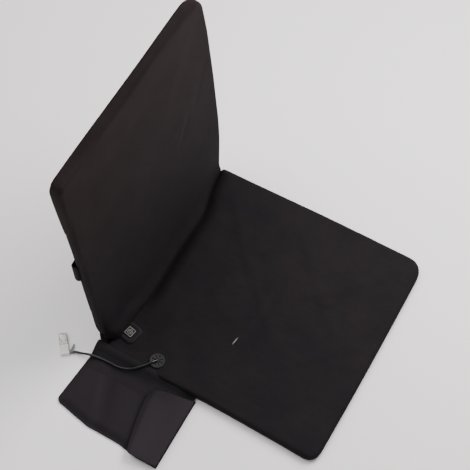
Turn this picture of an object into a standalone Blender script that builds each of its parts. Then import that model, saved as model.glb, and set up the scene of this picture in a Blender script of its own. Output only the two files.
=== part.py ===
"""Heated folding seat pad: two padded panels joined at a fold, a push-button heat controller, a short USB lead
with a clear plug cap, and a side pouch with a flap. Metres, Z up, seat front towards -Y, fold along X."""

import math
from dataclasses import dataclass

import bmesh
import bpy
from mathutils import Matrix, Vector

# Shared clearances
GAP = 0.0003
CUT_OVERRUN = 0.002
SOFT_ANGLE = math.radians(40)

# Panels: seat lying, back standing
PAD_WIDTH = 0.400
SEAT_DEPTH = 0.400
BACK_HEIGHT = 0.500
BACK_DRAW_IN_LEFT = 0.018
BACK_DRAW_IN_RIGHT = 0.001
PANEL_EDGE = 0.018
PANEL_CROWN = 0.003
SEAT_CORNER_LEFT = 0.020
SEAT_CORNER_RIGHT = 0.027
BACK_CORNER_LEFT = 0.028
BACK_CORNER_RIGHT = 0.046
FOLD_CORNER = 0.007
LEAST_CORNER = 0.004
EDGE_ROUND = 0.005
SEAM_TUCK = 0.0015
BORDER = 0.042
CROWN_INSET = 0.170
BELLY_SHARE = 0.35
CROWN_STEPS = 4
ROUND_STEPS = 3
CORNER_STEPS = 5
SIDE_STEPS = 4

# Layers of a panel, from the outside in
COVER_WALL = 0.0016
BASE_SHEET = 0.0015
LAYER_GAP = 0.0004
WIRE_DIAMETER = 0.0014
FELT_THICKNESS = 0.001
FELT_INSET = 0.014

# Heating wire and its thermal cut-out
WIRE_SIDE_MARGIN = 0.064
WIRE_PITCH = 0.036
SEAT_WIRE_START = 0.074
SEAT_WIRE_PASSES = 8
BACK_WIRE_START = 0.110
BACK_WIRE_PASSES = 8
TURN_STEPS = 4
BEND_SAMPLES = 32
LEAST_BEND_SHARE = 0.01
CUTOUT_LENGTH = 0.012
CUTOUT_WIDTH = 0.006

# Fold
FOLD_RISE = 0.007
FOLD_SET_BACK = 0.005
FOLD_CLEARANCE = 0.003
LEAN = math.radians(2.4)
STRIP_THICKNESS = 0.001
STRIP_END_MARGIN = 0.007
STRIP_BEAD = 0.0012
STRIP_WEB = 0.0009
SEAT_STRIP_FOOT = 0.004
BACK_STRIP_REACH = 0.016
BEAD_STEPS = 8

# Heat controller
CONTROL_SET_IN = 0.046
CONTROL_Y = -0.0245
CONTROL_YAW = math.radians(-12)
BEZEL_SIDE = 0.034
BEZEL_TOP_SIDE = 0.027
BEZEL_CORNER = 0.009
BEZEL_HEIGHT = 0.0030
BEZEL_LIP = 0.0022
NECK_SIDE = 0.0240
NECK_WALL = 0.0018
NECK_CORNER = 0.004
CAP_SIDE = 0.0164
CAP_CORNER = 0.0026
CAP_PROUD = 0.0010
CAP_FLANGE = 0.0012
CAP_FLANGE_RIM = 0.0012
CAP_STEM = 0.004
LABEL_SIDE = 0.0140
LABEL_THICKNESS = 0.0006
LABEL_PROUD = 0.0002
BUTTON_TRAVEL = 0.0008
STEM_CLEARANCE = 0.0002
BOX_SIDE = 0.030
BOX_WALL = 0.0016
BOX_CORNER = 0.004
BOX_FLOOR_HEIGHT = 0.0050
BOARD_LEDGE = 0.0012
BOARD_HEIGHT = 0.0085
BOARD_THICKNESS = 0.0012
SWITCH_SIDE = 0.006
SWITCH_HEIGHT = 0.0033
PLUNGER_DIAMETER = 0.0034
PLUNGER_HEIGHT = 0.0007
LED_LENGTH = 0.0020
LED_WIDTH = 0.0013
LED_HEIGHT = 0.0009
LED_OFFSET = 0.0072

# Cable grommet
GROMMET_SET_IN = 0.024
GROMMET_Y = -0.090
GROMMET_RADIUS = 0.0130
GROMMET_HEIGHT = 0.0028
GROMMET_ROUND = 0.0012
GROMMET_DISH = 0.0005
GROMMET_NECK = 0.0090
GROMMET_FOOT = 0.0115
GROMMET_FOOT_THICKNESS = 0.0016
GROMMET_BORE = 0.0024
SLIT_COUNT = 8
SLIT_WIDTH = 0.0009
SLIT_START = 0.0034
SLIT_END = 0.0098
SLIT_DEPTH = 0.0014
GROMMET_SIDES = 40
DISC_SIDES = 24

# Cable
CABLE_DIAMETER = 0.004
CABLE_POINTS = 62
INNER_CABLE_DIAMETER = 0.0032
INNER_CABLE_HEIGHT = 0.0106
# The route over the seat's edge, along the pouch and down to the floor, chosen by hand: how far out from the
# seat's left edge, then Y and Z
CABLE_ROUTE = (
    (-0.0210, -0.0880, 0.0232),
    (-0.0135, -0.0825, 0.0246),
    (-0.0010, -0.0716, 0.0225),
    (0.0095, -0.0560, 0.0162),
    (0.0143, -0.0380, 0.0126),
    (0.0148, -0.0176, 0.0121),
    (0.0160, 0.0010, 0.0121),
    (0.0190, 0.0165, 0.0116),
    (0.0220, 0.0310, 0.0066),
)

# USB plug, lying on the floor behind the pouch
PLUG_SET_OUT = 0.0370
PLUG_Y = 0.0535
PLUG_YAW = math.radians(38)
PLUG_LENGTH = 0.0180
PLUG_WIDTH = 0.0160
PLUG_HEIGHT = 0.0082
PLUG_ROUND = 0.0022
RELIEF_YAW = math.radians(-61)
RELIEF_LENGTH = 0.0060
RELIEF_ROOT = 0.0036
RELIEF_NOSE = 0.0027
RELIEF_BEAD = 0.0003
RELIEF_BEADS = 3
RELIEF_SIDES = 16
RELIEF_SEAT = 0.0042
SHELL_LENGTH = 0.0188
SHELL_SINK = 0.0020
SHELL_WIDTH = 0.0120
SHELL_HEIGHT = 0.0045
SHELL_WALL = 0.0004
SHELL_CORNER = 0.0007
WINDOW_SIDE = 0.0020
WINDOW_ALONG = 0.0070
WINDOW_ACROSS = 0.0028
TONGUE_THICKNESS = 0.0016
TONGUE_WIDTH = 0.0100
TONGUE_SET_IN = 0.0010
CAP_LENGTH = 0.0208
CAP_SHELL_WALL = 0.0011
CAP_FIT = 0.0004

# Side pouch
POUCH_WIDTH = 0.124
POUCH_LENGTH = 0.195
POUCH_REAR = 0.018
SHEET = 0.0022
POUCH_SPACE = 0.0048
POUCH_SLOPE = 0.005
POUCH_CORNER = 0.009
MOUTH_THROAT = 0.020
SEAM_TAPE = 0.0012
SEAM_TAPE_HEIGHT = 0.0050
FLAP_REACH = 0.066
FLAP_ROOT_WIDTH = 0.122
FLAP_FREE_WIDTH = 0.104
FLAP_CORNER = 0.010
FLAP_SKEW = math.radians(10)
FASTENER_THICKNESS = 0.0008
FASTENER_LENGTH = 0.060
FASTENER_WIDTH = 0.018
FASTENER_SET_IN = 0.012

# Elastic strap behind the back panel
STRAP_WIDTH = 0.044
STRAP_THICKNESS = 0.0015
STRAP_CENTRE = 0.250
STRAP_BOW = 0.0042
STRAP_STEPS = 6

# Worked out from the sizes above
HALF_WIDTH = PAD_WIDTH / 2
WIRE_HALF_SPAN = HALF_WIDTH - WIRE_SIDE_MARGIN
STRIP_START = BACK_DRAW_IN_LEFT + STRIP_END_MARGIN - HALF_WIDTH
STRIP_END = HALF_WIDTH - BACK_DRAW_IN_RIGHT - STRIP_END_MARGIN
CONTROL_X = CONTROL_SET_IN - HALF_WIDTH
GROMMET_X = GROMMET_SET_IN - HALF_WIDTH
PLUG_X = -(HALF_WIDTH + PLUG_SET_OUT)
COVER_FOOT = BASE_SHEET + GAP
WIRE_DEPTH = COVER_WALL + LAYER_GAP + WIRE_DIAMETER / 2
FELT_DEPTH = COVER_WALL + 2 * LAYER_GAP + WIRE_DIAMETER
FOAM_DEPTH = FELT_DEPTH + FELT_THICKNESS + LAYER_GAP
AXIS_HEIGHT = PANEL_EDGE + FOLD_RISE
SEAT_TOP = PANEL_EDGE
BEZEL_FOOT = SEAT_TOP + GAP
BEZEL_TOP = BEZEL_FOOT + BEZEL_HEIGHT
NECK_FOOT = SEAT_TOP - COVER_WALL - BOX_WALL
BOX_RIM = NECK_FOOT - GAP
LIP_UNDERSIDE = BEZEL_TOP - BEZEL_LIP
FLANGE_TOP = LIP_UNDERSIDE - GAP
FLANGE_FOOT = FLANGE_TOP - CAP_FLANGE
CAP_TOP = BEZEL_TOP + CAP_PROUD
SWITCH_FOOT = BOARD_HEIGHT + BOARD_THICKNESS + GAP
PLUNGER_TOP = SWITCH_FOOT + SWITCH_HEIGHT + PLUNGER_HEIGHT
STEM_FOOT = PLUNGER_TOP + BUTTON_TRAVEL + STEM_CLEARANCE
GROMMET_FOOT_TOP = SEAT_TOP - COVER_WALL - GAP
GROMMET_BOTTOM = GROMMET_FOOT_TOP - GROMMET_FOOT_THICKNESS
POUCH_TOP = 2 * SHEET + GAP + POUCH_SPACE
FLAP_FOOT = POUCH_TOP + 2 * FASTENER_THICKNESS + 3 * GAP
LIP_TOP = FLAP_FOOT - GAP
FLAP_AXIS = FLAP_FOOT + SHEET / 2
POUCH_X = -(HALF_WIDTH + SEAM_TAPE + 2 * GAP)
POUCH_FRONT = POUCH_REAR - POUCH_LENGTH
PLUG_MID = PLUG_HEIGHT / 2


@dataclass(frozen=True)
class Panel:
    """Outline of a panel: its length away from the fold, and for each side how far it is drawn in at the fold and
    the radius of its far corner."""

    length: float
    draw_in_left: float
    draw_in_right: float
    corner_left: float
    corner_right: float

    def half_at(self, side, along):
        """Distance from the middle line to the left (-1) or right (1) edge."""
        draw_in = self.draw_in_left if side < 0 else self.draw_in_right
        return HALF_WIDTH - draw_in * (1 - along / self.length)


SEAT = Panel(SEAT_DEPTH, 0, 0, SEAT_CORNER_LEFT, SEAT_CORNER_RIGHT)
BACK = Panel(BACK_HEIGHT, BACK_DRAW_IN_LEFT, BACK_DRAW_IN_RIGHT, BACK_CORNER_LEFT, BACK_CORNER_RIGHT)


def clear_scene():
    for obj in list(bpy.data.objects):
        bpy.data.objects.remove(obj, do_unlink=True)


def material(name, color, roughness, metallic=0.0, transmission=0.0):
    made = bpy.data.materials.new(name)
    made.use_nodes = True
    shader = made.node_tree.nodes["Principled BSDF"]
    shader.inputs["Base Color"].default_value = (*color, 1.0)
    shader.inputs["Roughness"].default_value = roughness
    shader.inputs["Metallic"].default_value = metallic
    shader.inputs["Transmission Weight"].default_value = transmission
    made.diffuse_color = (*color, 1.0)
    return made


def finish(bm, name, look, parent=None, smooth=True):
    """Closes the bmesh into an object whose faces point outwards."""
    bmesh.ops.remove_doubles(bm, verts=bm.verts, dist=GAP / 100)
    bmesh.ops.recalc_face_normals(bm, faces=bm.faces)
    for face in bm.faces:
        face.smooth = smooth
    mesh = bpy.data.meshes.new(name)
    bm.to_mesh(mesh)
    bm.free()
    mesh.materials.append(look)
    obj = bpy.data.objects.new(name, mesh)
    bpy.context.scene.collection.objects.link(obj)
    obj.parent = parent
    return obj


def empty(name, place, parent=None):
    made = bpy.data.objects.new(name, None)
    bpy.context.scene.collection.objects.link(made)
    made.matrix_world = place
    made.parent = parent
    return made


def cut(obj, cutter, operation="DIFFERENCE"):
    cutter.hide_render = True
    cutter.display_type = "WIRE"
    boolean = obj.modifiers.new(cutter.name, "BOOLEAN")
    boolean.operation = operation
    boolean.object = cutter
    boolean.solver = "EXACT"


def soften(obj, width, segments=2):
    bevel = obj.modifiers.new("soft edges", "BEVEL")
    bevel.width = width
    bevel.segments = segments
    bevel.limit_method = "ANGLE"
    bevel.angle_limit = SOFT_ANGLE


def loft(rings, name, look, parent=None):
    """Skins a row of rings with the same number of points and caps both ends."""
    bm = bmesh.new()
    rows = [[bm.verts.new(point) for point in ring] for ring in rings]
    for lower, upper in zip(rows, rows[1:]):
        for i, vert in enumerate(lower):
            after = (i + 1) % len(lower)
            bm.faces.new((vert, lower[after], upper[after], upper[i]))
    bm.faces.new(reversed(rows[0]))
    bm.faces.new(rows[-1])
    return finish(bm, name, look, parent)


def rounded_rect(width, depth, radius, height, steps=CORNER_STEPS):
    """Outline points of a rounded rectangle about the origin, anticlockwise."""
    points = []
    for quarter, (sx, sy) in enumerate(((1, 1), (-1, 1), (-1, -1), (1, -1))):
        centre = Vector((sx * (width / 2 - radius), sy * (depth / 2 - radius), height))
        for step in range(steps + 1):
            angle = math.pi / 2 * (quarter + step / steps)
            points.append(centre + radius * Vector((math.cos(angle), math.sin(angle), 0)))
    return points


def prism(outline, low, high, name, look, parent=None, smooth=False):
    """A straight solid on a flat outline of (x, y) points."""
    bm = bmesh.new()
    face = bm.faces.new([bm.verts.new((point[0], point[1], low)) for point in outline])
    side = bmesh.ops.extrude_face_region(bm, geom=[face])
    moved = [item for item in side["geom"] if isinstance(item, bmesh.types.BMVert)]
    bmesh.ops.translate(bm, verts=moved, vec=(0, 0, high - low))
    return finish(bm, name, look, parent, smooth)


def extrusion(profile, start, end, name, look, parent=None):
    """A straight solid along X on a profile of (y, z) points."""
    bm = bmesh.new()
    face = bm.faces.new([bm.verts.new((start, y, z)) for y, z in profile])
    side = bmesh.ops.extrude_face_region(bm, geom=[face])
    moved = [item for item in side["geom"] if isinstance(item, bmesh.types.BMVert)]
    bmesh.ops.translate(bm, verts=moved, vec=(end - start, 0, 0))
    return finish(bm, name, look, parent, smooth=False)


def lathe(profile, name, look, parent, steps):
    """A solid of revolution about Z on a closed profile of (radius, z) points."""
    bm = bmesh.new()
    verts = [bm.verts.new((radius, 0, z)) for radius, z in profile]
    edges = [bm.edges.new((verts[i], verts[(i + 1) % len(verts)])) for i in range(len(verts))]
    turn = {"cent": (0, 0, 0), "axis": (0, 0, 1), "angle": 2 * math.pi}
    bmesh.ops.spin(bm, geom=verts + edges, steps=steps, use_merge=True, **turn)
    return finish(bm, name, look, parent)


def tube(points, diameter, name, look, parent=None, resolution=2):
    curve = bpy.data.curves.new(name, "CURVE")
    curve.dimensions = "3D"
    curve.bevel_depth = diameter / 2
    curve.bevel_resolution = resolution
    curve.use_fill_caps = True
    spline = curve.splines.new("POLY")
    spline.points.add(len(points) - 1)
    for point, place in zip(spline.points, points):
        point.co = (*place, 1)
    spline.use_smooth = True
    curve.materials.append(look)
    obj = bpy.data.objects.new(name, curve)
    bpy.context.scene.collection.objects.link(obj)
    obj.parent = parent
    return obj


def smooth_route(route, count):
    """Points read at even steps from a smooth curve through the route's points."""
    route = [Vector(point) for point in route]
    ends = [2 * route[0] - route[1], *route, 2 * route[-1] - route[-2]]
    fine = []
    for i in range(1, len(ends) - 2):
        before, start, end, after = ends[i - 1 : i + 3]
        for step in range(count):
            t = step / count
            pull = (end - before) / 2
            push = (after - start) / 2
            fine.append(
                (2 * t**3 - 3 * t**2 + 1) * start
                + (t**3 - 2 * t**2 + t) * pull
                + (3 * t**2 - 2 * t**3) * end
                + (t**3 - t**2) * push
            )
    fine.append(route[-1])
    spans = [(b - a).length for a, b in zip(fine, fine[1:])]
    total = sum(spans)
    points, walked, span = [fine[0]], 0.0, 0
    for step in range(1, count):
        target = total * step / count
        while walked + spans[span] < target:
            walked += spans[span]
            span += 1
        points.append(fine[span].lerp(fine[span + 1], (target - walked) / spans[span]))
    points.append(fine[-1])
    return points


# Padded panels

def panel_ring(panel, inset, height):
    """One rounded outline of a panel, drawn in all round, as (across, along, height)."""
    points = []
    corners = (
        (-1, inset, FOLD_CORNER, math.pi),
        (1, inset, FOLD_CORNER, 1.5 * math.pi),
        (1, panel.length - inset, panel.corner_right, 0),
        (-1, panel.length - inset, panel.corner_left, math.pi / 2),
    )
    for side, along, full_radius, first in corners:
        radius = max(full_radius - inset, LEAST_CORNER)
        towards = 1 if along < panel.length / 2 else -1
        centre_along = along + towards * radius
        centre = Vector((side * (panel.half_at(side, centre_along) - inset - radius), centre_along, height))
        for step in range(CORNER_STEPS + 1):
            angle = first + math.pi / 2 * step / CORNER_STEPS
            points.append(centre + radius * Vector((math.cos(angle), math.sin(angle), 0)))
    filled = []
    for i, point in enumerate(points):
        filled.append(point)
        if i % (CORNER_STEPS + 1) == CORNER_STEPS:
            after = points[(i + 1) % len(points)]
            filled += [point.lerp(after, step / SIDE_STEPS) for step in range(1, SIDE_STEPS)]
    return filled


def crown_rows(first_inset):
    """(inset, height) from an inset on the flat border to the crown's middle."""
    rows = [(first_inset, PANEL_EDGE), (BORDER, PANEL_EDGE)]
    for step in range(1, CROWN_STEPS + 1):
        share = step / CROWN_STEPS
        rise = PANEL_CROWN * (1 - math.cos(math.pi * share)) / 2
        rows.append((BORDER + (CROWN_INSET - BORDER) * share, PANEL_EDGE + rise))
    return rows


def skin_rows(depth, foot):
    """(inset, height) of the surface at this depth under the outer one, from its foot to the crown's middle."""
    rows = [
        (SEAM_TUCK + depth, foot),
        (depth, PANEL_EDGE * BELLY_SHARE),
        (depth, PANEL_EDGE - EDGE_ROUND),
    ]
    radius = max(EDGE_ROUND - depth, EDGE_ROUND / 5)
    for step in range(1, ROUND_STEPS + 1):
        angle = math.pi / 2 * step / ROUND_STEPS
        rows.append(
            (depth + radius * (1 - math.cos(angle)), PANEL_EDGE - depth - radius * (1 - math.sin(angle)))
        )
    return rows + [(inset, height - depth) for inset, height in crown_rows(BORDER)[1:]]


def crown_height(panel, across, along):
    """Height of the outer surface over a point inside the border."""
    sides = [panel.half_at(side, along) - side * across for side in (-1, 1)]
    inset = min(*sides, along, panel.length - along)
    rows = crown_rows(0)
    for (low, start), (high, end) in zip(rows, rows[1:]):
        if inset <= high:
            return start + (end - start) * (inset - low) / (high - low)
    return rows[-1][1]


def rings_of(panel, rows, place):
    return [[place(point) for point in panel_ring(panel, inset, height)] for inset, height in rows]


def lying(point):
    """Seat: along runs forwards and height up."""
    across, along, height = point
    return Vector((across, -along, height))


def standing(point):
    """Back, about the fold's axis: along runs up and height forwards."""
    across, along, height = point
    return Vector((across, FOLD_SET_BACK + PANEL_EDGE - height, FOLD_CLEARANCE + along))


def wire_route(start, passes):
    """Serpentine of straight passes and half-round turns, as (across, along)."""
    route = []
    for row in range(passes):
        along = start + row * WIRE_PITCH
        direction = 1 if row % 2 == 0 else -1
        route += [(-direction * WIRE_HALF_SPAN, along), (direction * WIRE_HALF_SPAN, along)]
        if row < passes - 1:
            for step in range(1, TURN_STEPS):
                angle = math.pi * step / TURN_STEPS
                turn = WIRE_PITCH / 2
                route.append(
                    (direction * (WIRE_HALF_SPAN + turn * math.sin(angle)), along + turn * (1 - math.cos(angle)))
                )
    return route


def in_wire_layer(panel, route, place):
    """The route under the cover, with a point added wherever the crown changes slope."""
    points = []
    for (x0, y0), (x1, y1) in zip(route, route[1:]):
        places = [
            (x0 + (x1 - x0) * i / BEND_SAMPLES, y0 + (y1 - y0) * i / BEND_SAMPLES) for i in range(BEND_SAMPLES + 1)
        ]
        heights = [crown_height(panel, x, y) for x, y in places]
        for i in range(BEND_SAMPLES):
            bend = i and abs(heights[i - 1] - 2 * heights[i] + heights[i + 1])
            if i == 0 or bend > WIRE_DIAMETER * LEAST_BEND_SHARE:
                points.append((*places[i], heights[i]))
    points.append((*route[-1], crown_height(panel, *route[-1])))
    return [place((x, y, height - WIRE_DEPTH)) for x, y, height in points]


def build_panel(prefix, panel, place, looks, parent, wire_start, wire_passes, lead):
    """Cover, base sheet, foam, felt, heating wire and cut-out of one panel. Returns them by name."""
    outer = skin_rows(0, COVER_FOOT)
    inner = skin_rows(COVER_WALL, COVER_FOOT)
    made = {}
    made["cover"] = loft(
        rings_of(panel, inner[::-1] + outer, place), f"{prefix}_{looks['front']}", looks["fabric"], parent
    )
    base = [(SEAM_TUCK + BASE_SHEET, 0), (SEAM_TUCK, BASE_SHEET / 2), (SEAM_TUCK, BASE_SHEET)]
    made["base"] = loft(rings_of(panel, base, place), f"{prefix}_{looks['rear']}", looks["grip"], parent)
    made["foam"] = loft(
        rings_of(panel, skin_rows(FOAM_DEPTH, COVER_FOOT), place), f"{prefix}_foam", looks["foam"], parent
    )
    top = [(inset, height - FELT_DEPTH) for inset, height in crown_rows(FELT_INSET)]
    bottom = [(inset, height - FELT_THICKNESS) for inset, height in reversed(top)]
    made["felt"] = loft(rings_of(panel, bottom + top, place), f"{prefix}_heating_felt", looks["felt"], parent)
    route = wire_route(wire_start, wire_passes)
    tube(
        in_wire_layer(panel, lead + route, place), WIRE_DIAMETER, f"{prefix}_heating_wire", looks["wire"], parent, 0
    )
    middle = wire_start + WIRE_PITCH * (wire_passes // 2 - 1 / 2)
    height = crown_height(panel, 0, middle) - COVER_WALL - LAYER_GAP
    corners = [
        (x * CUTOUT_LENGTH / 2, middle + y * CUTOUT_WIDTH / 2) for x, y in ((-1, -1), (1, -1), (1, 1), (-1, 1))
    ]
    rings = [[place((x, y, z)) for x, y in corners] for z in (height - WIRE_DIAMETER, height)]
    loft(rings, f"{prefix}_thermal_cutout", looks["dark_plastic"], parent)
    return made


# Fold

def build_fold(looks, seat, pivot):
    """The fabric that joins the panels, as two strips: the back's ends in a bead on the fold's axis."""
    foot = SEAT_STRIP_FOOT
    head = AXIS_HEIGHT - STRIP_BEAD - GAP
    near, far = GAP, GAP + STRIP_THICKNESS
    profile = [(near, foot), (far, foot), (far, head), (near, head)]
    extrusion(profile, STRIP_START, STRIP_END, "seat_fold_strip", looks["tape"], seat)
    top = FOLD_CLEARANCE - GAP
    low = top - STRIP_THICKNESS
    web = STRIP_WEB / 2
    start = math.asin(web / STRIP_BEAD)
    profile = [(-web, top), (-web, STRIP_BEAD * math.cos(start))]
    for step in range(1, BEAD_STEPS):
        angle = math.pi / 2 + start + (2 * math.pi - 2 * start) * step / BEAD_STEPS
        profile.append((STRIP_BEAD * math.cos(angle), STRIP_BEAD * math.sin(angle)))
    profile += [(web, STRIP_BEAD * math.cos(start)), (web, low), (BACK_STRIP_REACH, low), (BACK_STRIP_REACH, top)]
    extrusion(profile, STRIP_START, STRIP_END, "back_fold_strip", looks["tape"], pivot)


# Heat controller

def square(side, corner, height, steps=CORNER_STEPS):
    return rounded_rect(side, side, corner, height, steps)


def build_controller(looks, parts, seat):
    """Rubber bezel, pressed button and its box under the cover, with board, switch and lamp."""
    place = Matrix.Translation((CONTROL_X, CONTROL_Y, 0)) @ Matrix.Rotation(CONTROL_YAW, 4, "Z")
    frame = empty("controller_place", place, seat)
    rings = [
        square(NECK_SIDE, NECK_CORNER, NECK_FOOT),
        square(NECK_SIDE, NECK_CORNER, BEZEL_FOOT),
        square(BEZEL_SIDE, BEZEL_CORNER, BEZEL_FOOT),
        square(BEZEL_SIDE, BEZEL_CORNER, BEZEL_FOOT + BEZEL_HEIGHT / 4),
        square((BEZEL_SIDE + BEZEL_TOP_SIDE) / 2, BEZEL_CORNER, BEZEL_FOOT + BEZEL_HEIGHT * 3 / 4),
        square(BEZEL_TOP_SIDE, BEZEL_CORNER, BEZEL_TOP),
    ]
    bezel = loft(rings, "controller_bezel", looks["rubber"], frame)
    opening = CAP_SIDE + 2 * GAP
    chamber = NECK_SIDE - 2 * NECK_WALL
    bore = [
        square(chamber, CAP_CORNER, NECK_FOOT - CUT_OVERRUN),
        square(chamber, CAP_CORNER, LIP_UNDERSIDE),
        square(opening, CAP_CORNER, LIP_UNDERSIDE),
        square(opening, CAP_CORNER, BEZEL_TOP + CUT_OVERRUN),
    ]
    cut(bezel, loft(bore, "bezel_bore", looks["rubber"], frame))

    button = empty("button_place", place @ Matrix.Translation((0, 0, LIP_UNDERSIDE)), None)
    button.parent = seat
    drop = -LIP_UNDERSIDE
    flange = CAP_SIDE + 2 * CAP_FLANGE_RIM
    rings = [
        square(CAP_STEM, CAP_STEM / 3, STEM_FOOT + drop),
        square(CAP_STEM, CAP_STEM / 3, FLANGE_FOOT + drop),
        square(flange, CAP_CORNER, FLANGE_FOOT + drop),
        square(flange, CAP_CORNER, FLANGE_TOP + drop),
        square(CAP_SIDE, CAP_CORNER, FLANGE_TOP + drop),
        square(CAP_SIDE, CAP_CORNER, CAP_TOP + drop - GAP),
        square(CAP_SIDE - 2 * GAP, CAP_CORNER, CAP_TOP + drop),
    ]
    cap = loft(rings, "button_cap", looks["rubber"], button)
    label_foot = CAP_TOP + LABEL_PROUD - LABEL_THICKNESS
    recess_side = LABEL_SIDE + 2 * GAP
    recess = [
        square(recess_side, CAP_CORNER / 2, label_foot + drop - GAP),
        square(recess_side, CAP_CORNER / 2, CAP_TOP + drop + CUT_OVERRUN),
    ]
    cut(cap, loft(recess, "label_recess", looks["rubber"], button))
    label = [
        square(LABEL_SIDE, CAP_CORNER / 2, label_foot + drop),
        square(LABEL_SIDE, CAP_CORNER / 2, label_foot + LABEL_THICKNESS + drop),
    ]
    loft(label, "button_label", looks["white"], button)

    inside = BOX_SIDE - 2 * BOX_WALL
    ledge = inside - 2 * BOARD_LEDGE
    box = loft(
        [square(BOX_SIDE, BOX_CORNER, BOX_FLOOR_HEIGHT), square(BOX_SIDE, BOX_CORNER, BOX_RIM)],
        "controller_box",
        looks["dark_plastic"],
        frame,
    )
    hollow = [
        square(ledge, CAP_CORNER, BOX_FLOOR_HEIGHT + BOX_WALL),
        square(ledge, CAP_CORNER, BOARD_HEIGHT - GAP),
        square(inside, CAP_CORNER, BOARD_HEIGHT - GAP),
        square(inside, CAP_CORNER, BOX_RIM + CUT_OVERRUN),
    ]
    cut(box, loft(hollow, "box_hollow", looks["dark_plastic"], frame))
    board = inside - 2 * GAP
    rings = [square(board, CAP_CORNER, BOARD_HEIGHT), square(board, CAP_CORNER, BOARD_HEIGHT + BOARD_THICKNESS)]
    loft(rings, "control_board", looks["board"], frame)
    body = SWITCH_FOOT + SWITCH_HEIGHT
    corner = SWITCH_SIDE / 8
    plunger = PLUNGER_DIAMETER / 2 - GAP / 10
    rings = [
        square(SWITCH_SIDE, corner, SWITCH_FOOT),
        square(SWITCH_SIDE, corner, body),
        square(PLUNGER_DIAMETER, plunger, body),
        square(PLUNGER_DIAMETER, plunger, PLUNGER_TOP),
    ]
    loft(rings, "tact_switch", looks["steel"], frame)
    lamp = rounded_rect(LED_LENGTH, LED_WIDTH, LED_WIDTH / 5, 0, 2)
    lamp = [point + Vector((LED_OFFSET, LED_OFFSET, 0)) for point in lamp]
    prism(lamp, SWITCH_FOOT, SWITCH_FOOT + LED_HEIGHT, "status_led", looks["white"], frame)

    hole = square(NECK_SIDE + 2 * GAP, NECK_CORNER, 0)
    low, high = NECK_FOOT, BEZEL_TOP
    cut(parts["cover"], prism(hole, low, high, "cover_hole", looks["rubber"], frame))
    pocket = square(BOX_SIDE + 2 * GAP, BOX_CORNER, 0)
    for name in ("foam", "felt"):
        cutter = prism(pocket, BOX_FLOOR_HEIGHT - GAP, high, f"{name}_pocket", looks["rubber"], frame)
        cut(parts[name], cutter)


# Grommet and cable

def build_grommet(looks, parts, seat):
    """Snap-in rubber disc with a star of slits. Its groove holds the cover."""
    place = Matrix.Translation((GROMMET_X, GROMMET_Y, 0))
    frame = empty("grommet_place", place, seat)
    top = SEAT_TOP + GAP + GROMMET_HEIGHT
    foot = SEAT_TOP + GAP
    shoulder = GROMMET_ROUND / 3
    profile = [
        (GROMMET_BORE, GROMMET_BOTTOM),
        (GROMMET_FOOT, GROMMET_BOTTOM),
        (GROMMET_FOOT, GROMMET_FOOT_TOP),
        (GROMMET_NECK, GROMMET_FOOT_TOP),
        (GROMMET_NECK, foot),
        (GROMMET_RADIUS, foot),
        (GROMMET_RADIUS, top - GROMMET_ROUND),
        (GROMMET_RADIUS - shoulder, top - shoulder),
        (GROMMET_RADIUS - GROMMET_ROUND, top),
        (SLIT_END, top - GROMMET_DISH),
        (GROMMET_BORE, top - GROMMET_DISH),
    ]
    grommet = lathe(profile, "cable_grommet", looks["grommet"], frame, GROMMET_SIDES)
    middle = (SLIT_START + SLIT_END) / 2
    low = top - GROMMET_DISH - SLIT_DEPTH
    for i in range(SLIT_COUNT):
        outline = rounded_rect(SLIT_END - SLIT_START, SLIT_WIDTH, SLIT_WIDTH / 3, 0, 1)
        turn = Matrix.Rotation(2 * math.pi * i / SLIT_COUNT, 4, "Z")
        outline = [turn @ (point + Vector((middle, 0, 0))) for point in outline]
        cut(grommet, prism(outline, low, top + CUT_OVERRUN, f"slit_cutter_{i + 1}", looks["grommet"], frame))

    def disc(radius):
        return [radius * Vector((math.cos(a), math.sin(a), 0)) for a in angles]

    angles = [2 * math.pi * i / DISC_SIDES for i in range(DISC_SIDES)]
    hole = prism(disc(GROMMET_NECK + GAP), NECK_FOOT, top, "cover_grommet_hole", looks["rubber"], frame)
    cut(parts["cover"], hole)
    low = INNER_CABLE_HEIGHT - INNER_CABLE_DIAMETER / 2 - GAP
    for name in ("foam", "felt"):
        cutter = prism(disc(GROMMET_FOOT + GAP), low, top, f"{name}_grommet_pocket", looks["rubber"], frame)
        cut(parts[name], cutter)


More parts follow.
